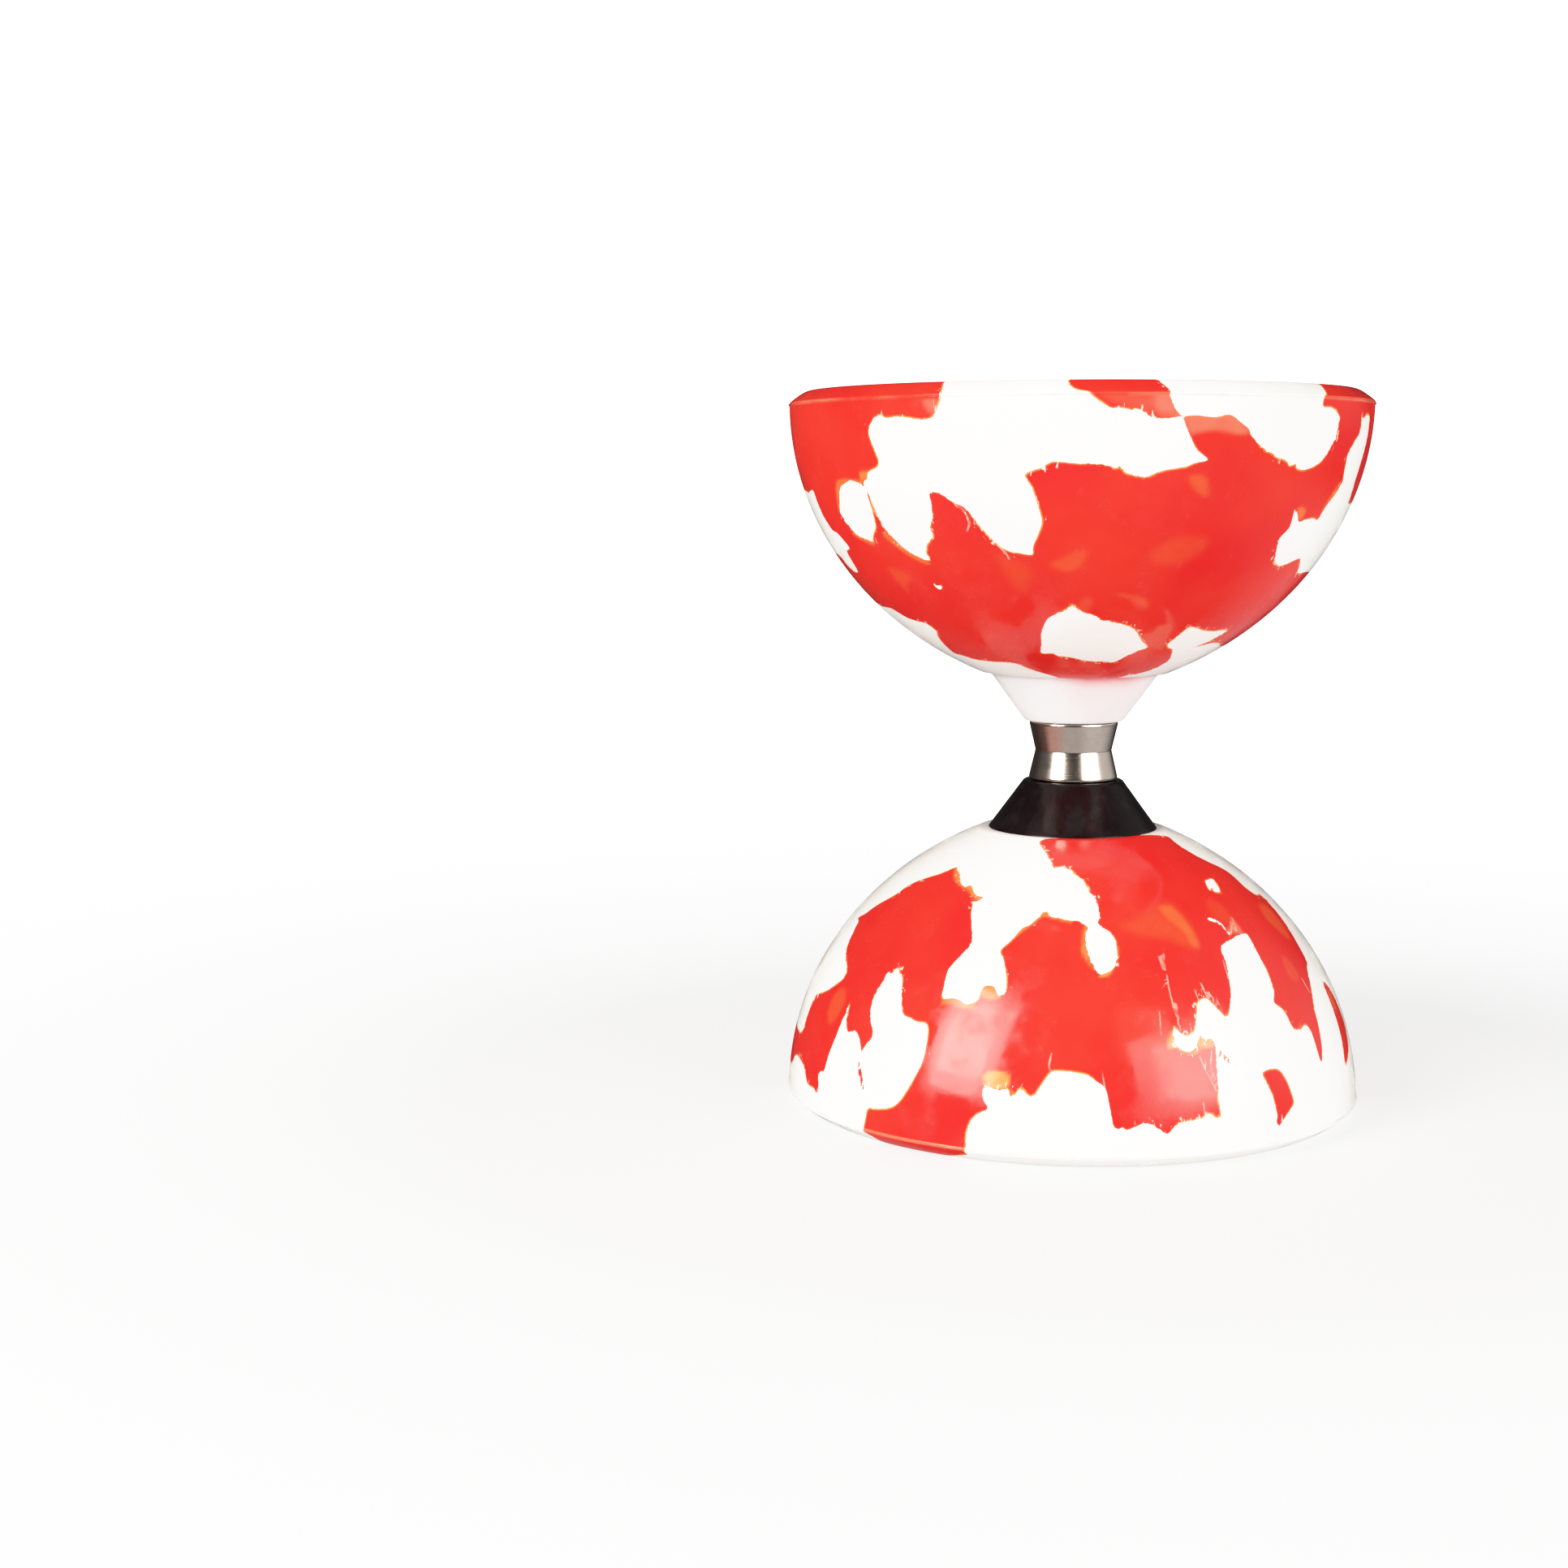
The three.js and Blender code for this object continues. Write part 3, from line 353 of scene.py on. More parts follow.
def streaks(strokes, azimuth, angle, radius):
    """How close each point is to a stroke, as half its width less the distance, and how far it lies to
    the stroke's right or left, both in mm. The second stays smooth across the stroke."""
    closeness = np.full(len(azimuth), -FAR)
    beside = np.full(len(azimuth), FAR)
    for width, line in strokes:
        pick = near(line, azimuth, angle, radius)
        here = azimuth[pick], angle[pick], radius[pick]
        along = here[2] * math.pi / 180
        path = smooth_outline(line, 3, closed=False)
        right = np.zeros(pick.sum())
        nearest = np.full(pick.sum(), FAR)
        for start, end in zip(path[:-1], path[1:], strict=True):
            distance, _ = distance_to([start, end], *here)
            dx, dy = (end[0] - start[0]) * along, end[1] - start[1]
            x, y = (here[0] - start[0]) * along, here[1] - start[1]
            right = np.where(distance < nearest, (dx * y - dy * x) / np.hypot(dx, dy), right)
            nearest = np.minimum(nearest, distance)
        close = width / 2 - nearest
        beside[pick] = np.where(close > closeness[pick], right * STROKE_UNIT / width, beside[pick])
        closeness[pick] = np.maximum(close, closeness[pick])
    return closeness, beside


def smooth(mesh):
    mesh.shade_smooth()
    mesh.set_sharp_from_angle(angle=SHARP_ANGLE)


def added(name, data):
    thing = bpy.data.objects.new(name, data)
    bpy.context.scene.collection.objects.link(thing)
    return thing


def grid_mesh(name, points, closed=True, capped=False):
    """A mesh from rings of points (ring, place round the ring, xyz) in millimetres. A closed one joins its
    last ring to its first. A capped one ends in flat discs."""
    rings, around = points.shape[:2]
    index = np.arange(rings * around).reshape(rings, around)
    right = np.roll(index, -1, axis=1)
    quads = np.stack([index, right, np.roll(right, -1, axis=0), np.roll(index, -1, axis=0)], -1)
    faces = (quads if closed else quads[:-1]).reshape(-1, 4).tolist()
    corners = points.reshape(-1, 3) * MM
    if capped:
        low = np.full(around, len(corners))
        faces += np.stack([low, right[0], index[0]], -1).tolist()
        faces += np.stack([low + 1, index[-1], right[-1]], -1).tolist()
        corners = np.vstack([corners, corners[:around].mean(0), corners[-around:].mean(0)])
    mesh = bpy.data.meshes.new(name)
    mesh.from_pydata(corners.tolist(), [], faces)
    smooth(mesh)
    return added(name, mesh)


def azimuths(count):
    """That many azimuths in degrees, evenly round the axis."""
    return -180 + 360 * np.arange(count) / count


def placed(radius, height, degrees):
    """xyz of points at a radius, a height and an azimuth."""
    radius, height, a = np.broadcast_arrays(radius, height, np.radians(degrees))
    return np.stack([radius * np.sin(a), -radius * np.cos(a), height], -1)


def rounded(profile, radii, steps):
    """A closed profile with each corner replaced by a bend that starts and ends the given length from it."""
    p = np.array(profile, float)
    corners = zip(p, np.roll(p, 1, axis=0), np.roll(p, -1, axis=0), radii, strict=True)
    result = []
    for corner, before, after, size in corners:
        if not size:
            result.append(tuple(corner))
            continue
        start, end = (corner + (q - corner) / np.linalg.norm(q - corner) * size for q in (before, after))
        for s in np.linspace(0, 1, steps + 1):
            result.append(tuple((1 - s) ** 2 * start + 2 * s * (1 - s) * corner + s * s * end))
    return result


def turned(name, profile, side, segments):
    """A ring turned from a closed profile, on one side of the middle."""
    p = np.array(profile, float) * [1, side]
    r, z = p.T
    if (r * np.roll(z, -1) - np.roll(r, -1) * z).sum() < 0:      # it runs clockwise
        p = p[::-1]
    return grid_mesh(name, placed(p[:, 0, None], p[:, 1, None], azimuths(segments)))


def subdivided(profile, longest):
    """The same closed profile with no edge longer than the given length."""
    result = []
    p = [np.array(q, float) for q in profile]
    for a, b in zip(p, p[1:] + p[:1], strict=True):
        count = max(1, math.ceil(np.linalg.norm(b - a) / longest))
        result += [tuple(a + (b - a) * i / count) for i in range(count)]
    return result


# ---- materials

class Nodes:
    """A node tree, with short calls for the nodes used here."""

    def __init__(self, tree, coordinates, blend):
        self.tree = tree
        self.place = self.add("ShaderNodeTexCoord").outputs[coordinates]
        self.blend = blend

    def put(self, socket, value):
        if isinstance(value, bpy.types.NodeSocket):
            self.tree.links.new(value, socket)
        else:
            socket.default_value = (*value, 1) if socket.type == "RGBA" else value

    def add(self, kind, inputs=None, **settings):
        node = self.tree.nodes.new(kind)
        for key, value in settings.items():
            setattr(node, key, value)
        for key, value in (inputs or {}).items():
            self.put(node.inputs[key], value)
        return node

    def math(self, operation, a, b=0.0, clamp=False):
        return self.add("ShaderNodeMath", {0: a, 1: b}, operation=operation, use_clamp=clamp).outputs[0]

    def times(self, first, *others):
        for other in others:
            first = self.math("MULTIPLY", first, other)
        return first

    def scaled(self, x, y, z):
        return self.add("ShaderNodeMapping", {"Vector": self.place, "Scale": (x, y, z)}).outputs[0]

    def noise(self, scale, detail=2.0, roughness=0.5, vector=None):
        inputs = {"Vector": vector or self.place, "Scale": scale, "Detail": detail, "Roughness": roughness}
        return self.add("ShaderNodeTexNoise", inputs).outputs[0]

    def ramp(self, value, low, high, to_low=0.0, to_high=1.0):
        inputs = {"Value": value, "From Min": low, "From Max": high, "To Min": to_low, "To Max": to_high}
        return self.add("ShaderNodeMapRange", inputs, interpolation_type=self.blend).outputs[0]

    def mix(self, factor, a, b):
        return self.add("ShaderNodeMix", {0: factor, 6: a, 7: b}, data_type="RGBA").outputs[2]

    def axis(self, index):
        return self.add("ShaderNodeSeparateXYZ", {0: self.place}).outputs[index]

    def attribute(self, name):
        return self.add("ShaderNodeAttribute", attribute_name=name).outputs["Fac"]

    def bump(self, height, strength, distance, *under):
        """under is the bump below this one, if there is one."""
        node = self.add("ShaderNodeBump", {"Height": height, "Strength": strength, "Distance": distance})
        for normal in under:
            self.put(node.inputs["Normal"], normal)
        return node.outputs[0]


class Surface(Nodes):
    """A material's nodes, round its shader."""

    def __init__(self, slot, ending=""):
        self.material = bpy.data.materials.new(slot + FINISH + ending)
        self.material.use_nodes = True
        super().__init__(self.material.node_tree, "Object", "LINEAR")
        self.shader = self.tree.nodes["Principled BSDF"]

    def set(self, **values):
        for key, value in values.items():
            self.put(self.shader.inputs[key.replace("_", " ")], value)


def rubber_material(ending, ior):
    """ior sets how glossy the cup is. The upper one is the duller."""
    n = Surface("marbled_rubber", ending)
    # the white's edge, more ragged in some places than in others, and the two rubbers
    torn = n.ramp(n.noise(55, 2), 0.48, 0.6, 0.25, 1.2)
    ragged = n.times(n.math("SUBTRACT", n.noise(1100, 4, 0.65), 0.5), torn)
    distance = n.math("ADD", n.attribute("marble"), ragged)
    white = n.ramp(distance, -0.05, 0.05)
    red = n.mix(n.ramp(n.noise(42, 3), 0.35, 0.65), (0.58, 0.014, 0.013), (0.64, 0.025, 0.017))
    red = n.mix(n.ramp(n.noise(300, 3, 0.7), 0.58, 0.8, 0, 0.12), red, (0.60, 0.055, 0.030))
    pale = n.mix(n.ramp(n.noise(70, 3), 0.4, 0.75), (0.85, 0.84, 0.82), (0.84, 0.81, 0.785))

    # a thin orange line along most edges, where the two colours have run together, and the glows
    thin = n.times(n.ramp(distance, -0.4, -0.12), n.ramp(n.noise(80, 2), 0.44, 0.56, 0.08, 1))
    cloud = n.ramp(n.noise(420, 3, 0.6), 0.3, 0.7, -0.12, 0.12)
    glow, veil = (
        n.math("ADD", n.attribute(name), n.times(cloud, n.attribute(name)), clamp)
        for name, clamp in (("glow", False), ("veil", True))
    )
    red = n.mix(n.math("MAXIMUM", thin, glow, True), red, (0.90, 0.21, 0.05))
    # paler where white lies under the red, and two painted reflections under the upper hub
    red = n.mix(veil, red, (0.80, 0.36, 0.22))

    # flecks pulled off the white where the mould dragged it, and the pale strokes
    pulled = n.ramp(n.noise(1.0, 3, 0.6, n.scaled(1500, 1500, 330)), 0.58, 0.63)
    reach = n.times(n.ramp(distance, -1.6, -0.3), n.ramp(n.noise(75, 2), 0.5, 0.56))
    flecks = n.ramp(n.times(pulled, reach), 0.3, 0.65, 0, 0.85)
    wander = n.times(n.math("SUBTRACT", n.noise(900, 3, 0.6), 0.5), 0.45)
    beside = n.math("ABSOLUTE", n.math("ADD", n.attribute("beside"), wander))
    stroke = n.times(n.ramp(beside, 0.07, 0.19, 1, 0), n.ramp(n.attribute("streak"), -0.45, -0.1))
    worn_stroke = n.times(stroke, n.ramp(n.noise(400, 3, 0.6), 0.36, 0.6, 0.08, 0.5))
    colour = n.mix(n.math("MAXIMUM", worn_stroke, flecks), red, (0.82, 0.58, 0.46))

    # the flash has a painted highlight along it on the red; on the white it holds dust specks, with painted
    # shade along its line
    off_flash = n.math("SUBTRACT", n.math("ABSOLUTE", n.axis(2)), FLASH_HEIGHT * MM)
    at_flash = n.ramp(n.math("ABSOLUTE", off_flash), 0.00015, 0.0004, 1, 0)
    # painted highlight: a paler line along the flash on the red
    flash_highlight = n.times(at_flash, n.ramp(n.noise(60, 3, 0.6), 0.4, 0.6, 0.05, 0.4))
    colour = n.mix(flash_highlight, colour, (0.86, 0.30, 0.17))
    colour = n.mix(white, colour, pale)
    # dust specks on the white at the flash, which also paint the shade along the flash line
    dust_and_flash_shade = n.times(at_flash, white, n.ramp(n.noise(190, 4, 0.7), 0.5, 0.68, 0, 0.5))
    colour = n.mix(dust_and_flash_shade, colour, (0.55, 0.46, 0.36))

    polish = n.ramp(n.noise(95, 5, 0.65), 0.3, 0.7, 0.05, 0.13)
    smears = n.ramp(n.noise(150, 5, 0.68), 0.44, 0.62, 0, 0.2)
    moulded = n.bump(n.noise(110, 2), 0.08, 0.0005)
    n.set(
        Base_Color=colour, Roughness=n.math("ADD", polish, smears), IOR=ior,
        Subsurface_Weight=0.08, Subsurface_Scale=0.0012, Subsurface_Radius=(1.0, 0.45, 0.35),
        Normal=n.bump(n.noise(1500, 3), 0.05, 0.0001, moulded),
    )
    return n.material


def plastic_material(slot, colour, worn, roughness, glow_through, ior=1.5, painted_red_bounce=None, smudges=0.0):
    """glow_through is how much light spreads under the surface. The red colour given for the hub paints a
    glow of light bounced from the red rubber onto the front of the hub, along part of its wide edge. smudges
    is how strongly finger marks run down it."""
    n = Surface(slot)
    base = n.mix(n.ramp(n.noise(150, 4, 0.65), 0.42, 0.68), colour, worn)
    if smudges:
        marks = n.ramp(n.noise(1.0, 3, 0.55, n.scaled(230, 230, 60)), 0.5, 0.68)
        base = n.mix(n.times(marks, smudges), base, (0.10, 0.075, 0.075))
    # painted light: red bounced from the red cup, on the front of the hub near its wide edge
    if painted_red_bounce:
        front = n.times(
            n.ramp(n.axis(0), -0.0045, 0.002), n.ramp(n.axis(0), 0.009, 0.0155, 1, 0.1),
            n.ramp(n.axis(1), -0.004, 0.0, 1, 0),
        )
        near_edge = n.math("POWER", n.ramp(n.axis(2), 0.0095, 0.01505), 5.0)
        share = n.math("ADD", n.times(near_edge, 0.85), n.ramp(n.axis(2), 0.006, 0.015, 0.0, 0.15))
        base = n.mix(n.times(front, share), base, painted_red_bounce)
    scuffs = n.noise(1.0, 4, 0.7, n.scaled(300, 300, 900))
    fine = n.bump(n.noise(2600, 2), 0.05, 0.00005)
    n.set(
        Base_Color=base, Roughness=n.ramp(scuffs, 0.35, 0.7, roughness - 0.05, roughness + 0.08), IOR=ior,
        Normal=n.bump(scuffs, 0.03, 0.00006, fine),
    )
    if glow_through:
        n.set(Subsurface_Weight=glow_through, Subsurface_Scale=0.004, Subsurface_Radius=(1.0, 0.7, 0.65))
    return n.material


def metal_material(slot, colour, dull, roughness, turned_lines):
    """turned_lines is how strongly the tool's rings round the axis show."""
    n = Surface(slot)
    rings = n.noise(1.0, 3, 0.75, n.scaled(18, 18, 9000))
    blotches = n.noise(330, 4, 0.6)
    line_share = n.ramp(rings, 0.3, 0.7, -0.08 * turned_lines, 0.08 * turned_lines)
    base = n.ramp(blotches, 0.3, 0.7, roughness - 0.03, roughness + 0.05)
    n.set(
        Base_Color=n.mix(n.ramp(blotches, 0.4, 0.72), colour, dull), Metallic=1.0,
        Roughness=n.math("ADD", base, line_share, True),
        Normal=n.bump(rings, 0.16 * turned_lines + 0.02, 0.00003),
    )
    return n.material


rubber = {"top": rubber_material("_top", 1.23), "bottom": rubber_material("_bottom", 1.38)}
# its red tint near the cup is painted bounce light from the red rubber
white_plastic = plastic_material(
    "white_plastic", (0.785, 0.765, 0.785), (0.755, 0.73, 0.752), 0.36, 0.35, painted_red_bounce=(0.84, 0.09, 0.13)
)
black_plastic = plastic_material(
    "black_plastic", (0.0036, 0.0018, 0.0023), (0.0058, 0.0034, 0.0040), 0.16, 0, ior=1.25, smudges=0.06
)
clamp_plastic = plastic_material("clamp_plastic", (0.016, 0.016, 0.017), (0.030, 0.029, 0.029), 0.45, 0)
nylon = plastic_material("nylon", (0.045, 0.16, 0.47), (0.06, 0.2, 0.53), 0.42, 0.1)
turned_steel = metal_material("turned_steel", (0.70, 0.60, 0.525), (0.63, 0.53, 0.455), 0.17, 1.0)
plated_steel = metal_material("plated_steel", (0.60, 0.61, 0.63), (0.50, 0.50, 0.51), 0.30, 0.25)
bearing_steel = metal_material("bearing_steel", (0.66, 0.67, 0.69), (0.60, 0.61, 0.62), 0.14, 0.15)


def finish_piece(piece, material, body, node):
    """Gives a new piece its material and the body that it moves with, and hides the CAD part that it stands
    for.
    """
    piece.data.materials.clear()
    piece.data.materials.append(material)
    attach(piece, body)
    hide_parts(node)
    material.name.split(FINISH)[0]


# ---- cups

CUP_SEGMENTS = 468         # keeps each cup's STL just under the 200,000 triangles that are kept as they are
# The wall is a quarter of an ellipse: the radius of its middle, its half axes and the height of its middle
WALL_OFFSET, WALL_WIDTH, WALL_DEPTH, WALL_TOP = -8.38, 63.09, 56.21, 66.15
WALL_THICKNESS = 4.4
CUP_BASE, CUP_INSIDE, CUP_END = 15.055, 18.895, 68.0       # heights: below the bottom, above it, rim
RIM_SLOPE, RIM_INNER_ROUND = 3.4, 0.8
HOLE_RADIUS = 5.1
FLASH_ZONE = 0.42          # mm each side of the flash where the rows lie close together
BEAD_WIDTH, BEAD_LIMIT = 0.13, 0.285       # mm, of the flash's ridge
# Wall angles at which the marbling is read where there is no wall
BASE_PLACE, SLOPE_SPAN, ROUND_PLACE, INSIDE_PLACE = 68.5, -3.3, -4.4, -4.6


def wall(angle, inset=0.0):
    """(radius, height) on the outside wall, or that far within it."""
    a = math.radians(angle)
    return (WALL_OFFSET + (WALL_WIDTH - inset) * math.cos(a), WALL_TOP - (WALL_DEPTH - inset) * math.sin(a))


def wall_angle(height, inset=0.0):
    return math.degrees(math.asin((WALL_TOP - height) / (WALL_DEPTH - inset)))


def cup_profile():
    """Rows of (radius, height, wall angle outside, wall angle inside, share of the inside's marbling),
    from the hub face up the outside, over the rim and down the inside."""
    rows = [(r, CUP_BASE, BASE_PLACE, 0, 0) for r in (HOLE_RADIUS, 9.5, 13.5, 16.0)]
    for a in np.linspace(wall_angle(CUP_BASE), wall_angle(FLASH_HEIGHT - 0.5), 146):
        rows.append((*wall(a), a, 0, 0))
    for z in np.linspace(FLASH_HEIGHT - FLASH_ZONE, FLASH_HEIGHT + FLASH_ZONE, 11):
        a = wall_angle(min(z, WALL_TOP))
        rows.append((wall(a)[0], z, a, 0, 0))
    mouth, slope_start = WALL_OFFSET + WALL_WIDTH, FLASH_HEIGHT + FLASH_ZONE
    for s in np.linspace(0, 1, 13)[1:]:
        z = slope_start + (CUP_END - slope_start) * (1 - (1 - s) ** 1.35)      # steepest at the flash
        rows.append((mouth - RIM_SLOPE * s, z, SLOPE_SPAN * s, 0, 0))
    for a in np.radians(np.linspace(90, 180, 6)):
        r = mouth - WALL_THICKNESS + RIM_INNER_ROUND + RIM_INNER_ROUND * math.cos(a)
        z = CUP_END - RIM_INNER_ROUND + RIM_INNER_ROUND * math.sin(a)
        rows.append((r, z, ROUND_PLACE, 0, 0))
    floor_angle = wall_angle(CUP_INSIDE, WALL_THICKNESS)
    for a in np.linspace(0, floor_angle, 26):
        rows.append((*wall(a, WALL_THICKNESS), INSIDE_PLACE, a, smoothstep(0, 9, a)))
    for r in (10.8, 8, HOLE_RADIUS):
        rows.append((r, CUP_INSIDE, INSIDE_PLACE, floor_angle, 1))
    return np.array(rows, float)


def waves(turn, total, *terms):
    """total, with waves added to it that are given as (height, how many in a turn, phase)."""
    for height, count, phase in terms:
        total = total + height * np.sin(count * turn + phase)
    return total


def cup(end, side, here, there, glows, veils_and_reflections, strokes):
    """A cup with the marbling called here on its front and the one called there on its back. Each is a
    marbling's white outlines and the red ones within them. Inside the cup they change places."""
    rows = cup_profile()[::side]
    azimuth = azimuths(CUP_SEGMENTS)[None, :]
    radius, height, inside_share = rows[:, 0, None], rows[:, 1, None], rows[:, 4, None]
    turn = np.radians(azimuth)
    # the moulding's flash, a ragged bead, and the faint unevenness of moulded rubber
    if side > 0:
        swell = waves(turn, 0.19, (0.05, 5, 1), (0.035, 13, 2), (0.02, 47, 0))
        drift = waves(turn, 0, (0.07, 3, 0.4), (0.03, 17, 1.9))
    else:
        swell = waves(turn, 0.18, (0.05, 4, 2.2), (0.04, 11, 0), (0.02, 53, 0))
        drift = waves(turn, 0, (0.06, 2, 1.4), (0.035, 15, 0.3))
    ridge = np.minimum(swell, BEAD_LIMIT) * np.exp(-(((height - FLASH_HEIGHT - drift) / BEAD_WIDTH) ** 2))
    bead = np.where((inside_share == 0) & (rows[:, 2, None] > -1), ridge, 0)
    uneven = 0.012 * np.sin(4 * turn + height / 9) * np.sin(height / 6.5 + 1) * (inside_share == 0)
    uneven = uneven * smoothstep(20, 30, height) * (1 - smoothstep(60, 63, height))
    points = placed(radius + bead + uneven, side * height, azimuth)
    piece = grid_mesh(f"cup_{end}_rubber", points)

    az, rad, out_angle, in_angle, share = (
        np.broadcast_to(values, points.shape[:2]).ravel()
        for values in (azimuth, *(rows[:, i, None] for i in (0, 2, 3, 4)))
    )
    back = smoothstep(LIMB_START, LIMB_END, np.abs(az))
    behind = np.where(az > 0, 180 - az, -180 - az)
    quarter = (az + 90 + 180 * (side < 0)) % 360 - 180
    near_half = np.abs(quarter) <= 90
    folded = np.where(near_half, quarter, np.sign(quarter) * 180 - quarter)
    field = np.zeros(len(az))
    for marbles, where, angle, weight in (
        (here, az, out_angle, (1 - back) * (1 - share)),
        (there, behind, out_angle, back * (1 - share)),
        (there, folded, in_angle, share * near_half),
        (here, folded, in_angle, share * ~near_half),
    ):
        pick = weight > 0
        field[pick] += weight[pick] * marbling(*marbles, where[pick], angle[pick], rad[pick])
    front = (1 - back) * (1 - share)
    closeness, beside = streaks(strokes, az, out_angle, rad)
    values = {
        "marble": field,
        "glow": patches(glows, az, out_angle, rad) * front,
        "veil": patches(veils_and_reflections, az, out_angle, rad) * front,
        "streak": np.where(front > 0.5, closeness, -FAR),
        "beside": beside,
    }
    for name, numbers in values.items():
        layer = piece.data.attributes.new(name, "FLOAT", "POINT")
        layer.data.foreach_set("value", numbers.astype(np.float32))
    finish_piece(piece, rubber[end], AXLE, f"cup_{end}")


UPPER, LOWER = (UPPER_WHITE, []), (LOWER_WHITE, LOWER_RED)
cup("top", 1, UPPER, LOWER, UPPER_GLOWS, UPPER_VEILS_AND_REFLECTIONS, UPPER_STREAKS)
cup("bottom", -1, LOWER, UPPER, LOWER_GLOWS, LOWER_VEILS, LOWER_STREAKS)

# ---- hubs, spool and fastenings

ROD_RADIUS, ROD_END, THREAD_START = 3.0, 29.6, 20.9
BORE = ROD_RADIUS + 0.03
HUB_START, HUB_END = 5.7, 15.045
HUB_SMALL, HUB_LARGE = 9.4, 16.1
CLAMP = (18.905, 20.895)
WASHER = (20.905, 22.095)
NUT = (22.105, 28.1)


def hub_profile():
    cone_top = HUB_END - 0.15
    corners = [
        (BORE, HUB_START), (HUB_SMALL, HUB_START), (HUB_LARGE, cone_top), (HUB_LARGE, HUB_END),
        (5.0, HUB_END), (5.0, HUB_END + 3.35), (BORE, HUB_END + 3.35),
    ]
    return subdivided(rounded(corners, [0.1, 0.5, 0.06, 0.05, 0, 0.3, 0.3], 5), 1.2)


def spool_profile():
    """The V groove with the faint ridges that the tool leaves, the land at each end and the bore."""
    waist, end, cone_end, half = 7.3, 8.45, 5.0, 5.5
    slope = (end - waist) / cone_end
    cone = []
    for z in np.arange(0.16, cone_end - 0.05, 0.055):
        radius = waves(z, waist + slope * z, (0.0022, 61, 0), (0.0018, 97, 1.3), (0.0016, 37.3, 0.4))
        cone.append((radius, z))
    land = [(end, cone_end), (end, half - 0.15), (end - 0.05, half - 0.05), (end - 0.15, half)]
    bore = [(6.68, half), (6.53, half - 0.15), (6.53, 0.39), (5.75, 0.39)]
    top = [(waist + 0.012, 0.05), *cone, *land, *bore]
    return [*top, *[(r, -z) for r, z in reversed(top)]]


def rod():
    """The axle rod, with the thread on its two ends inside the cups."""
    chamfer, pitch, depth = 0.5, 1.0, 0.32
    ends = np.arange(THREAD_START, ROD_END - chamfer, 0.11)
    upper = np.concatenate([ends, [ROD_END - chamfer, ROD_END]])
    plain = np.linspace(-THREAD_START, THREAD_START, 15)[1:-1]
    z = np.concatenate([-upper[::-1], plain, upper])[:, None]
    degrees = azimuths(48)[None, :]
    turn = (z / pitch - degrees / 360) % 1
    fade = smoothstep(THREAD_START, THREAD_START + 0.8, np.abs(z))
    radius = ROD_RADIUS - depth * (1 - np.abs(2 * turn - 1) * 1.25).clip(0, 1) * fade
    radius[[0, -1]] = ROD_RADIUS - chamfer
    return grid_mesh("axle_rod_steel", placed(radius, z, degrees), closed=False, capped=True)


def nut(end, side):
    """A hexagonal lock nut: chamfered corners, a round collar and the seat of its nylon ring."""
    low, top = NUT
    flats, hex_top, seat = 5.0, low + 4.3, 4.85
    degrees = azimuths(144)
    corner = flats / np.cos(np.radians((degrees + 30) % 60 - 30))
    drop = (corner - seat) * math.tan(math.radians(27))
    rows = [
        (BORE, low + 0.45), (3.5, low), (seat - 0.1, low), (corner - 0.06, low + drop - 0.02),
        (corner, low + drop + 0.08), (corner, hex_top - drop - 0.08), (corner - 0.06, hex_top - drop + 0.02),
        (seat - 0.1, hex_top), (4.62, hex_top), (4.5, hex_top + 0.12), (4.5, top - 0.5), (4.42, top - 0.22),
        (4.2, top - 0.06), (3.9, top), (3.62, top - 0.04), (3.5, top - 0.15), (3.5, top - 0.4),
        (4.03, top - 0.4), (4.03, top - 1.9), (BORE, top - 1.9),
    ]
    radius, height = (np.array([row[i] + 0 * corner for row in rows])[::side] for i in (0, 1))
    return grid_mesh(f"lock_nut_{end}_steel", placed(radius, side * height, degrees[None, :]))


def ring(low, high, inner, outer, edge):
    """A flat ring's profile, with softened edges."""
    corners = [(inner, low), (outer, low), (outer, high), (inner, high)]
    return rounded(corners, [edge] * 4, 3)


spool = turned("axle_spool_steel", spool_profile(), 1, 240)
finish_piece(spool, turned_steel, SPOOL, "axle_spool")
finish_piece(rod(), plated_steel, AXLE, "axle_rod")
spacer = turned("bearing_spacer_steel", ring(-0.39, 0.39, BORE, 3.9, 0.05), 1, 72)
finish_piece(spacer, plated_steel, AXLE, "bearing_spacer")

BALL_COUNT, BALL_RADIUS, PITCH_RADIUS, BEARING_MIDDLE, RACE_RADIUS = 7, 1.05, 4.75, 2.9, 1.15
BEARING = (0.4, 5.4)


def race(shoulder, facing):
    """Groove for the balls, as points up the ring's face. facing is 0 outwards and 180 inwards."""
    half = math.degrees(math.acos(abs(shoulder - PITCH_RADIUS) / RACE_RADIUS))
    a = np.radians(np.linspace(facing - half, facing + half, 15))
    r, z = PITCH_RADIUS + RACE_RADIUS * np.cos(a), BEARING_MIDDLE + RACE_RADIUS * np.sin(a)
    return list(zip(r, z, strict=True))


def outer_ring_profile():
    low, high = BEARING
    edge = [(6.38, high), (6.47, high - 0.03), (6.5, high - 0.12), (6.5, low + 0.12), (6.47, low + 0.03)]
    return [(5.45, low), *race(5.45, 0), (5.45, high), *edge, (6.38, low)]


def inner_ring_profile():
    low, high = BEARING
    bore = [(BORE + 0.1, high), (BORE, high - 0.1), (BORE, low + 0.1), (BORE + 0.1, low)]
    return [(4.05, low), *reversed(race(4.05, 180)), (4.05, high), *bore]


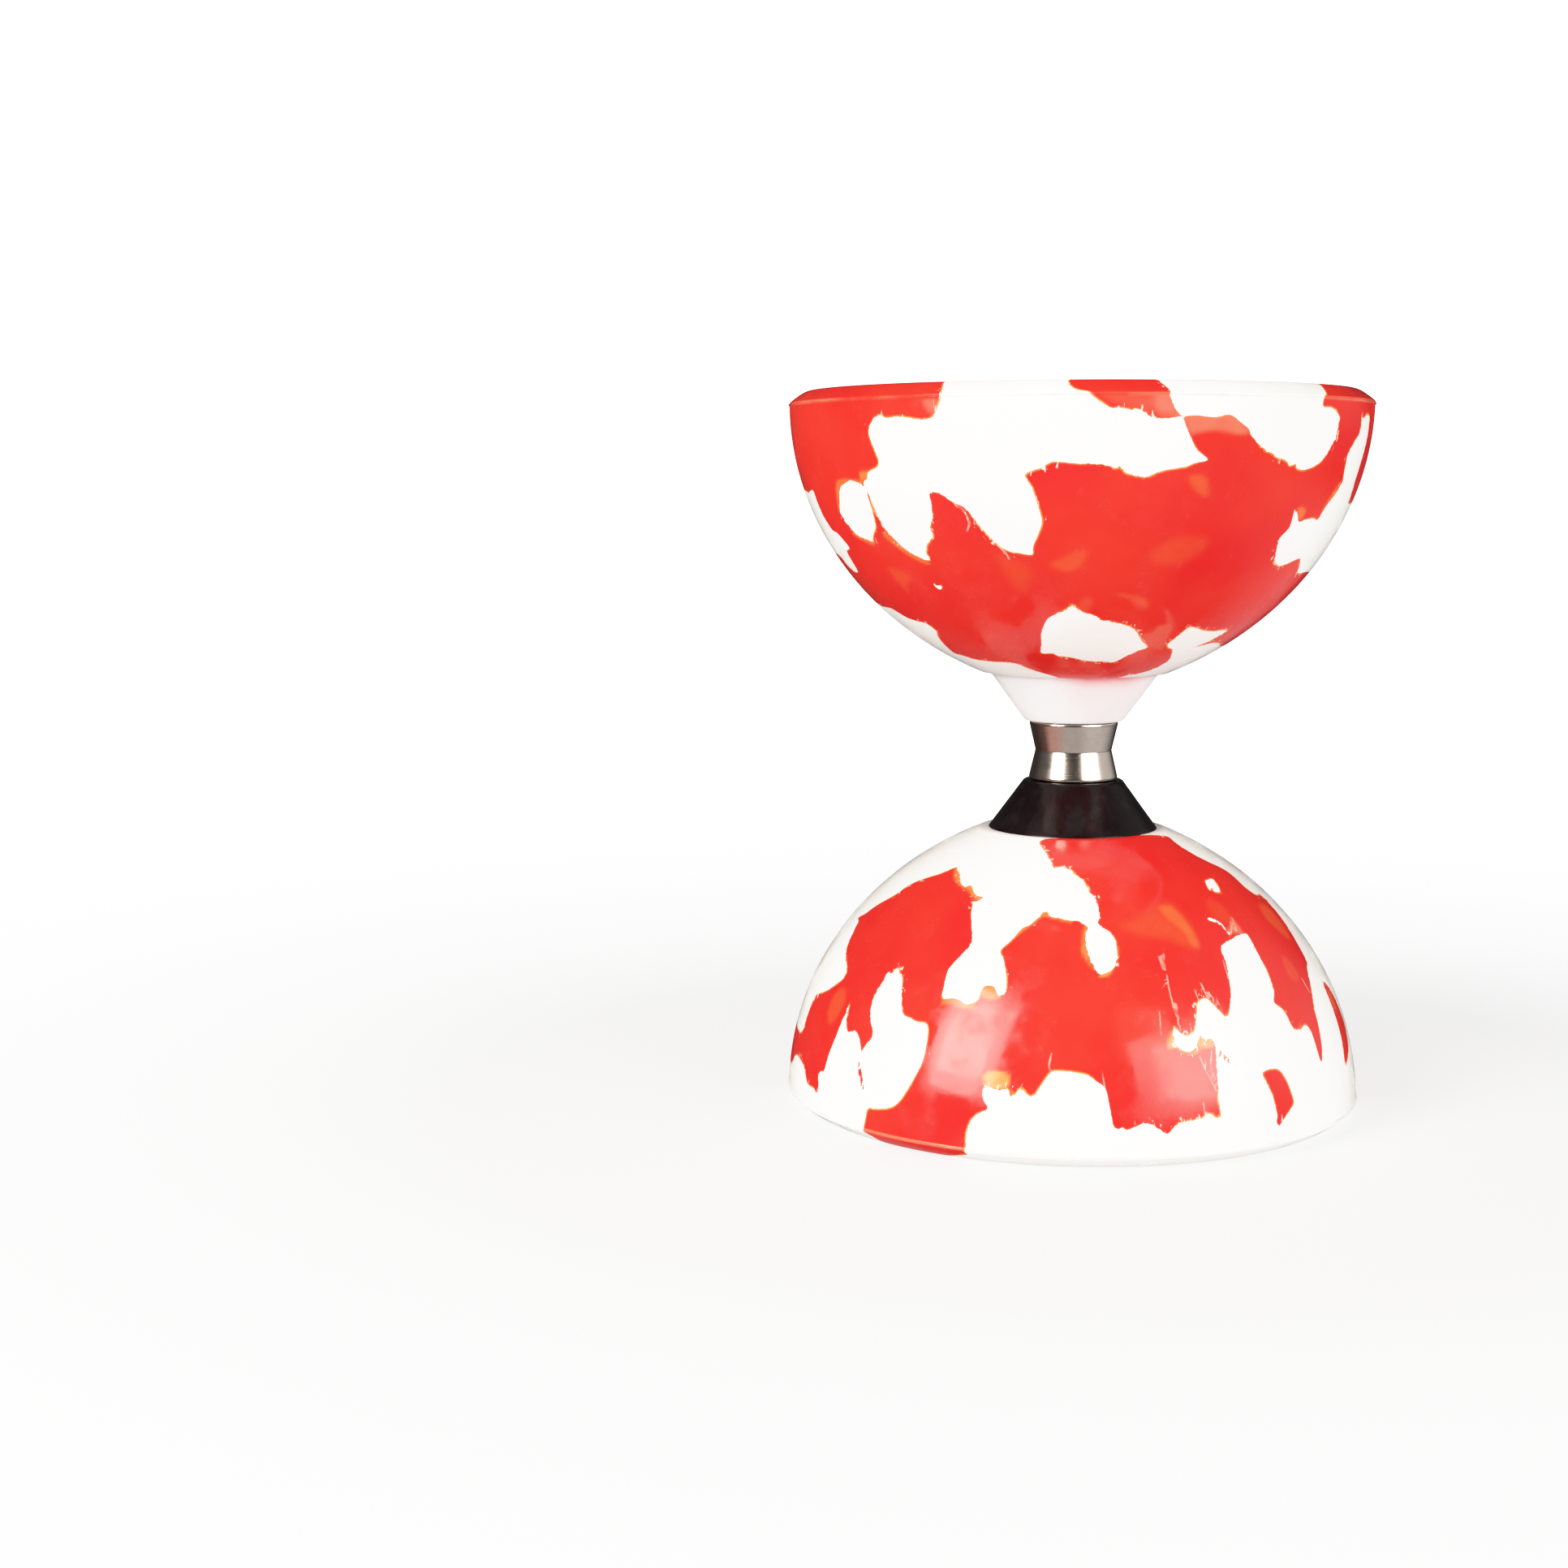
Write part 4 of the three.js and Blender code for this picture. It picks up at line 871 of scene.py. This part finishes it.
def shield_profile(outward):
    """A thin pressed ring with a shallow step, held in the outer ring."""
    edge = BEARING_MIDDLE + outward * 2.35
    back = edge - outward * 0.25
    step = outward * 0.06
    return [(4.2, edge - step), (4.7, edge - step), (4.78, edge), (5.4, edge), (5.42, edge - outward * 0.02),
            (5.42, back), (4.2, back)]


def ball_centre(index, side):
    """The balls lie evenly round the bearing, the first one along +X."""
    around = 2 * math.pi * index / BALL_COUNT
    x, y = PITCH_RADIUS * math.cos(around), PITCH_RADIUS * math.sin(around)
    return np.array([x, y, side * BEARING_MIDDLE])


def ball(name, index, side):
    latitude = np.radians(np.linspace(-86, 86, 17))[:, None]
    points = placed(BALL_RADIUS * np.cos(latitude), BALL_RADIUS * np.sin(latitude), azimuths(32)[None, :])
    return grid_mesh(name, points + ball_centre(index, side), closed=False, capped=True)


def cage(end, side):
    """The ring that spaces the balls, with a round pocket cut for each."""
    blank = turned(f"cage_{end}_steel", subdivided(ring(1.4, 4.4, 4.35, 5.15, 0.1), 0.5), side, 168)
    for index in range(BALL_COUNT):
        cutter = ball("pocket", index, side)
        middle = ball_centre(index, side) * MM
        for v in cutter.data.vertices:
            v.co = middle + (np.array(v.co) - middle) * RACE_RADIUS / BALL_RADIUS
        cut = blank.modifiers.new("pocket", "BOOLEAN")
        cut.operation, cut.object, cut.solver = "DIFFERENCE", cutter, "EXACT"
        bpy.context.view_layer.update()
        shape = bpy.data.meshes.new_from_object(blank.evaluated_get(bpy.context.evaluated_depsgraph_get()))
        blank.modifiers.clear()
        blank.data = shape
        bpy.data.objects.remove(cutter)
    blank.data.name = blank.name
    smooth(blank.data)
    return blank


clamp_corners = [
    (BORE, CLAMP[0]), (11, CLAMP[0]), (11, CLAMP[1] - 0.6), (10.4, CLAMP[1]), (BORE, CLAMP[1]),
]
for end, side in (("top", 1), ("bottom", -1)):
    cage_body = f"cage_assembly_{end}"
    hub = turned(f"hub_{end}_cone", hub_profile(), side, 240)
    finish_piece(hub, white_plastic if side > 0 else black_plastic, AXLE, f"hub_{end}")
    for part, profile, material, body in (
        ("shim", ring(5.41, 5.69, BORE, 3.9, 0.04), plated_steel, AXLE),
        ("inner_ring", inner_ring_profile(), bearing_steel, AXLE),
        ("outer_ring", outer_ring_profile(), bearing_steel, SPOOL),
        ("clamp_disc", rounded(clamp_corners, [0, 0.1, 0.3, 0.3, 0.1], 4), clamp_plastic, AXLE),
        ("washer", ring(*WASHER, 3.2, 8.0, 0.15), plated_steel, AXLE),
        ("nut_insert", ring(26.21, 27.69, BORE, 4.0, 0.12), nylon, AXLE),
    ):
        finish_piece(turned(f"{part}_{end}_turned", profile, side, 144), material, body, f"{part}_{end}")
    for face, outward in (("outer", 1), ("inner", -1)):
        shield = turned(f"shield_{end}_{face}_pressed", shield_profile(outward), side, 120)
        finish_piece(shield, bearing_steel, SPOOL, f"shield_{end}_{face}")
    finish_piece(nut(end, side), plated_steel, AXLE, f"lock_nut_{end}")
    finish_piece(cage(end, side), bearing_steel, cage_body, f"cage_{end}")
    for index in range(BALL_COUNT):
        name = f"ball_{end}_{index + 1}"
        finish_piece(ball(f"{name}_steel", index, side), bearing_steel, cage_body, name)

# ---- stage, light and camera

FLOOR = -CUP_END * MM - 0.00002
WARM = (1.0, 0.965, 0.89)


def stage_floor():
    points = placed(np.array([[1], [100], [250], [400], [520]]), np.zeros((5, 1)), azimuths(96)[None, :])
    floor = grid_mesh("floor", points[::-1], closed=False)
    floor.location.z = FLOOR
    n = Surface("floor_white")
    away = n.add("ShaderNodeVectorMath", {0: n.place}, operation="LENGTH")
    # it fades out into the white around it
    clear = n.math("SMOOTH_MIN", n.ramp(away.outputs["Value"], 0.12, 0.5), 1.0)
    n.set(
        Base_Color=n.mix(n.noise(3, 2), (0.30, 0.30, 0.30), (0.32, 0.32, 0.32)), Roughness=0.8,
        Specular_IOR_Level=0.1, Emission_Strength=0.80, Emission_Color=(1, 1, 1),
        Alpha=n.math("SUBTRACT", 1.0, clear),
    )
    floor.data.materials.append(n.material)
    floor.visible_glossy = False


def softbox(name, direction, distance, width, height, radiance):
    """A rectangular area light of an even brightness. It faces the object from that direction, in metres."""
    light = bpy.data.lights.new(name, "AREA")
    light.shape = "RECTANGLE"
    light.size, light.size_y = width, height
    light.energy = radiance * math.pi * width * height
    light.color = WARM
    lamp = added(name, light)
    x, y, z = np.array(direction, float) / np.linalg.norm(direction)
    lamp.location = (x * distance, y * distance, z * distance)
    lamp.rotation_euler = (math.radians(90) - math.asin(z), 0, math.atan2(x, -y))


def studio_world():
    """White where the camera looks. For light and reflections, a dim room with a pale table edge low down,
    a paler right side, warmth low at the left, and dark where the camera and its operator stand."""
    world = bpy.data.worlds.new("studio")
    bpy.context.scene.world = world
    world.use_nodes = True
    world.node_tree.nodes.clear()
    n = Nodes(world.node_tree, "Generated", "SMOOTHSTEP")
    x, y, z = (n.axis(i) for i in range(3))
    band = n.times(n.ramp(z, -0.78, -0.62), n.ramp(z, -0.42, -0.2, 1, 0))
    rightwards = n.math("SUBTRACT", n.times(x, 0.8), n.times(y, 0.6))
    low = n.times(band, n.ramp(rightwards, -0.78, -0.5), n.ramp(x, 0.1, 0.7, 0.4, 0.58))
    right = n.times(n.ramp(x, 0.5, 0.95, 0, 0.6), n.ramp(z, -0.25, 0.1))
    dim = n.math("ADD", n.math("ADD", low, right), n.ramp(y, 0.1, 0.6, 0.09, 0.035))
    warm = n.times(n.ramp(x, -0.95, -0.1, 1, 0), n.ramp(z, -0.15, 0.15, 1, 0))
    beyond = n.add("ShaderNodeVectorMath", {0: n.place, 1: (0.02, -0.93, 0.36)}, operation="DISTANCE")
    room = n.times(dim, n.ramp(beyond.outputs["Value"], 0.14, 0.34, 0.25, 1))
    colour = n.mix(warm, (1, 1, 1), (1.25, 0.70, 0.62))
    around = n.add("ShaderNodeBackground", {"Color": colour, "Strength": room})
    seen = n.add("ShaderNodeBackground", {"Color": (1, 1, 1), "Strength": 2.5})
    from_camera = n.add("ShaderNodeLightPath").outputs["Is Camera Ray"]
    pick = n.add("ShaderNodeMixShader", {0: from_camera, 1: around.outputs[0], 2: seen.outputs[0]})
    n.add("ShaderNodeOutputWorld", {"Surface": pick.outputs[0]})


stage_floor()
studio_world()
# each softbox is brighter in the middle, where its bulb shines through
softbox("softbox_left", (-0.63, -0.66, 0.41), 0.9, 0.46, 0.673, 12.4)
softbox("bulb_left", (-0.64, -0.65, 0.43), 0.89, 0.30, 0.45, 7.4)
softbox("softbox_right", (0.73, -0.61, 0.25), 0.9, 0.76, 0.52, 4.8)
softbox("bulb_right", (0.75, -0.59, 0.24), 0.89, 0.48, 0.38, 6.0)

CAMERA_PLACE = (0.0, -0.46725, 0.04902)
CAMERA_YAW, CAMERA_PITCH = 6.846, -6.853
camera_data = bpy.data.cameras.new("camera")
camera_data.sensor_width = 36
camera_data.lens = 55.64
camera_data.clip_start = 0.01
camera = added("camera", camera_data)
camera.location = CAMERA_PLACE
camera.rotation_euler = (math.radians(90 + CAMERA_PITCH), 0, math.radians(CAMERA_YAW))
bpy.context.scene.camera = camera

view = bpy.context.scene.view_settings
view.view_transform = "Standard"
view.look = "None"
# highlights roll off gently instead of clipping
view.use_curve_mapping = True
curves = view.curve_mapping
curves.white_level = (2, 2, 2)
for x, y in ((0.33, 0.66), (0.45, 0.83), (0.6, 0.935), (0.78, 0.98)):
    curves.curves[3].points.new(x, y)
curves.update()
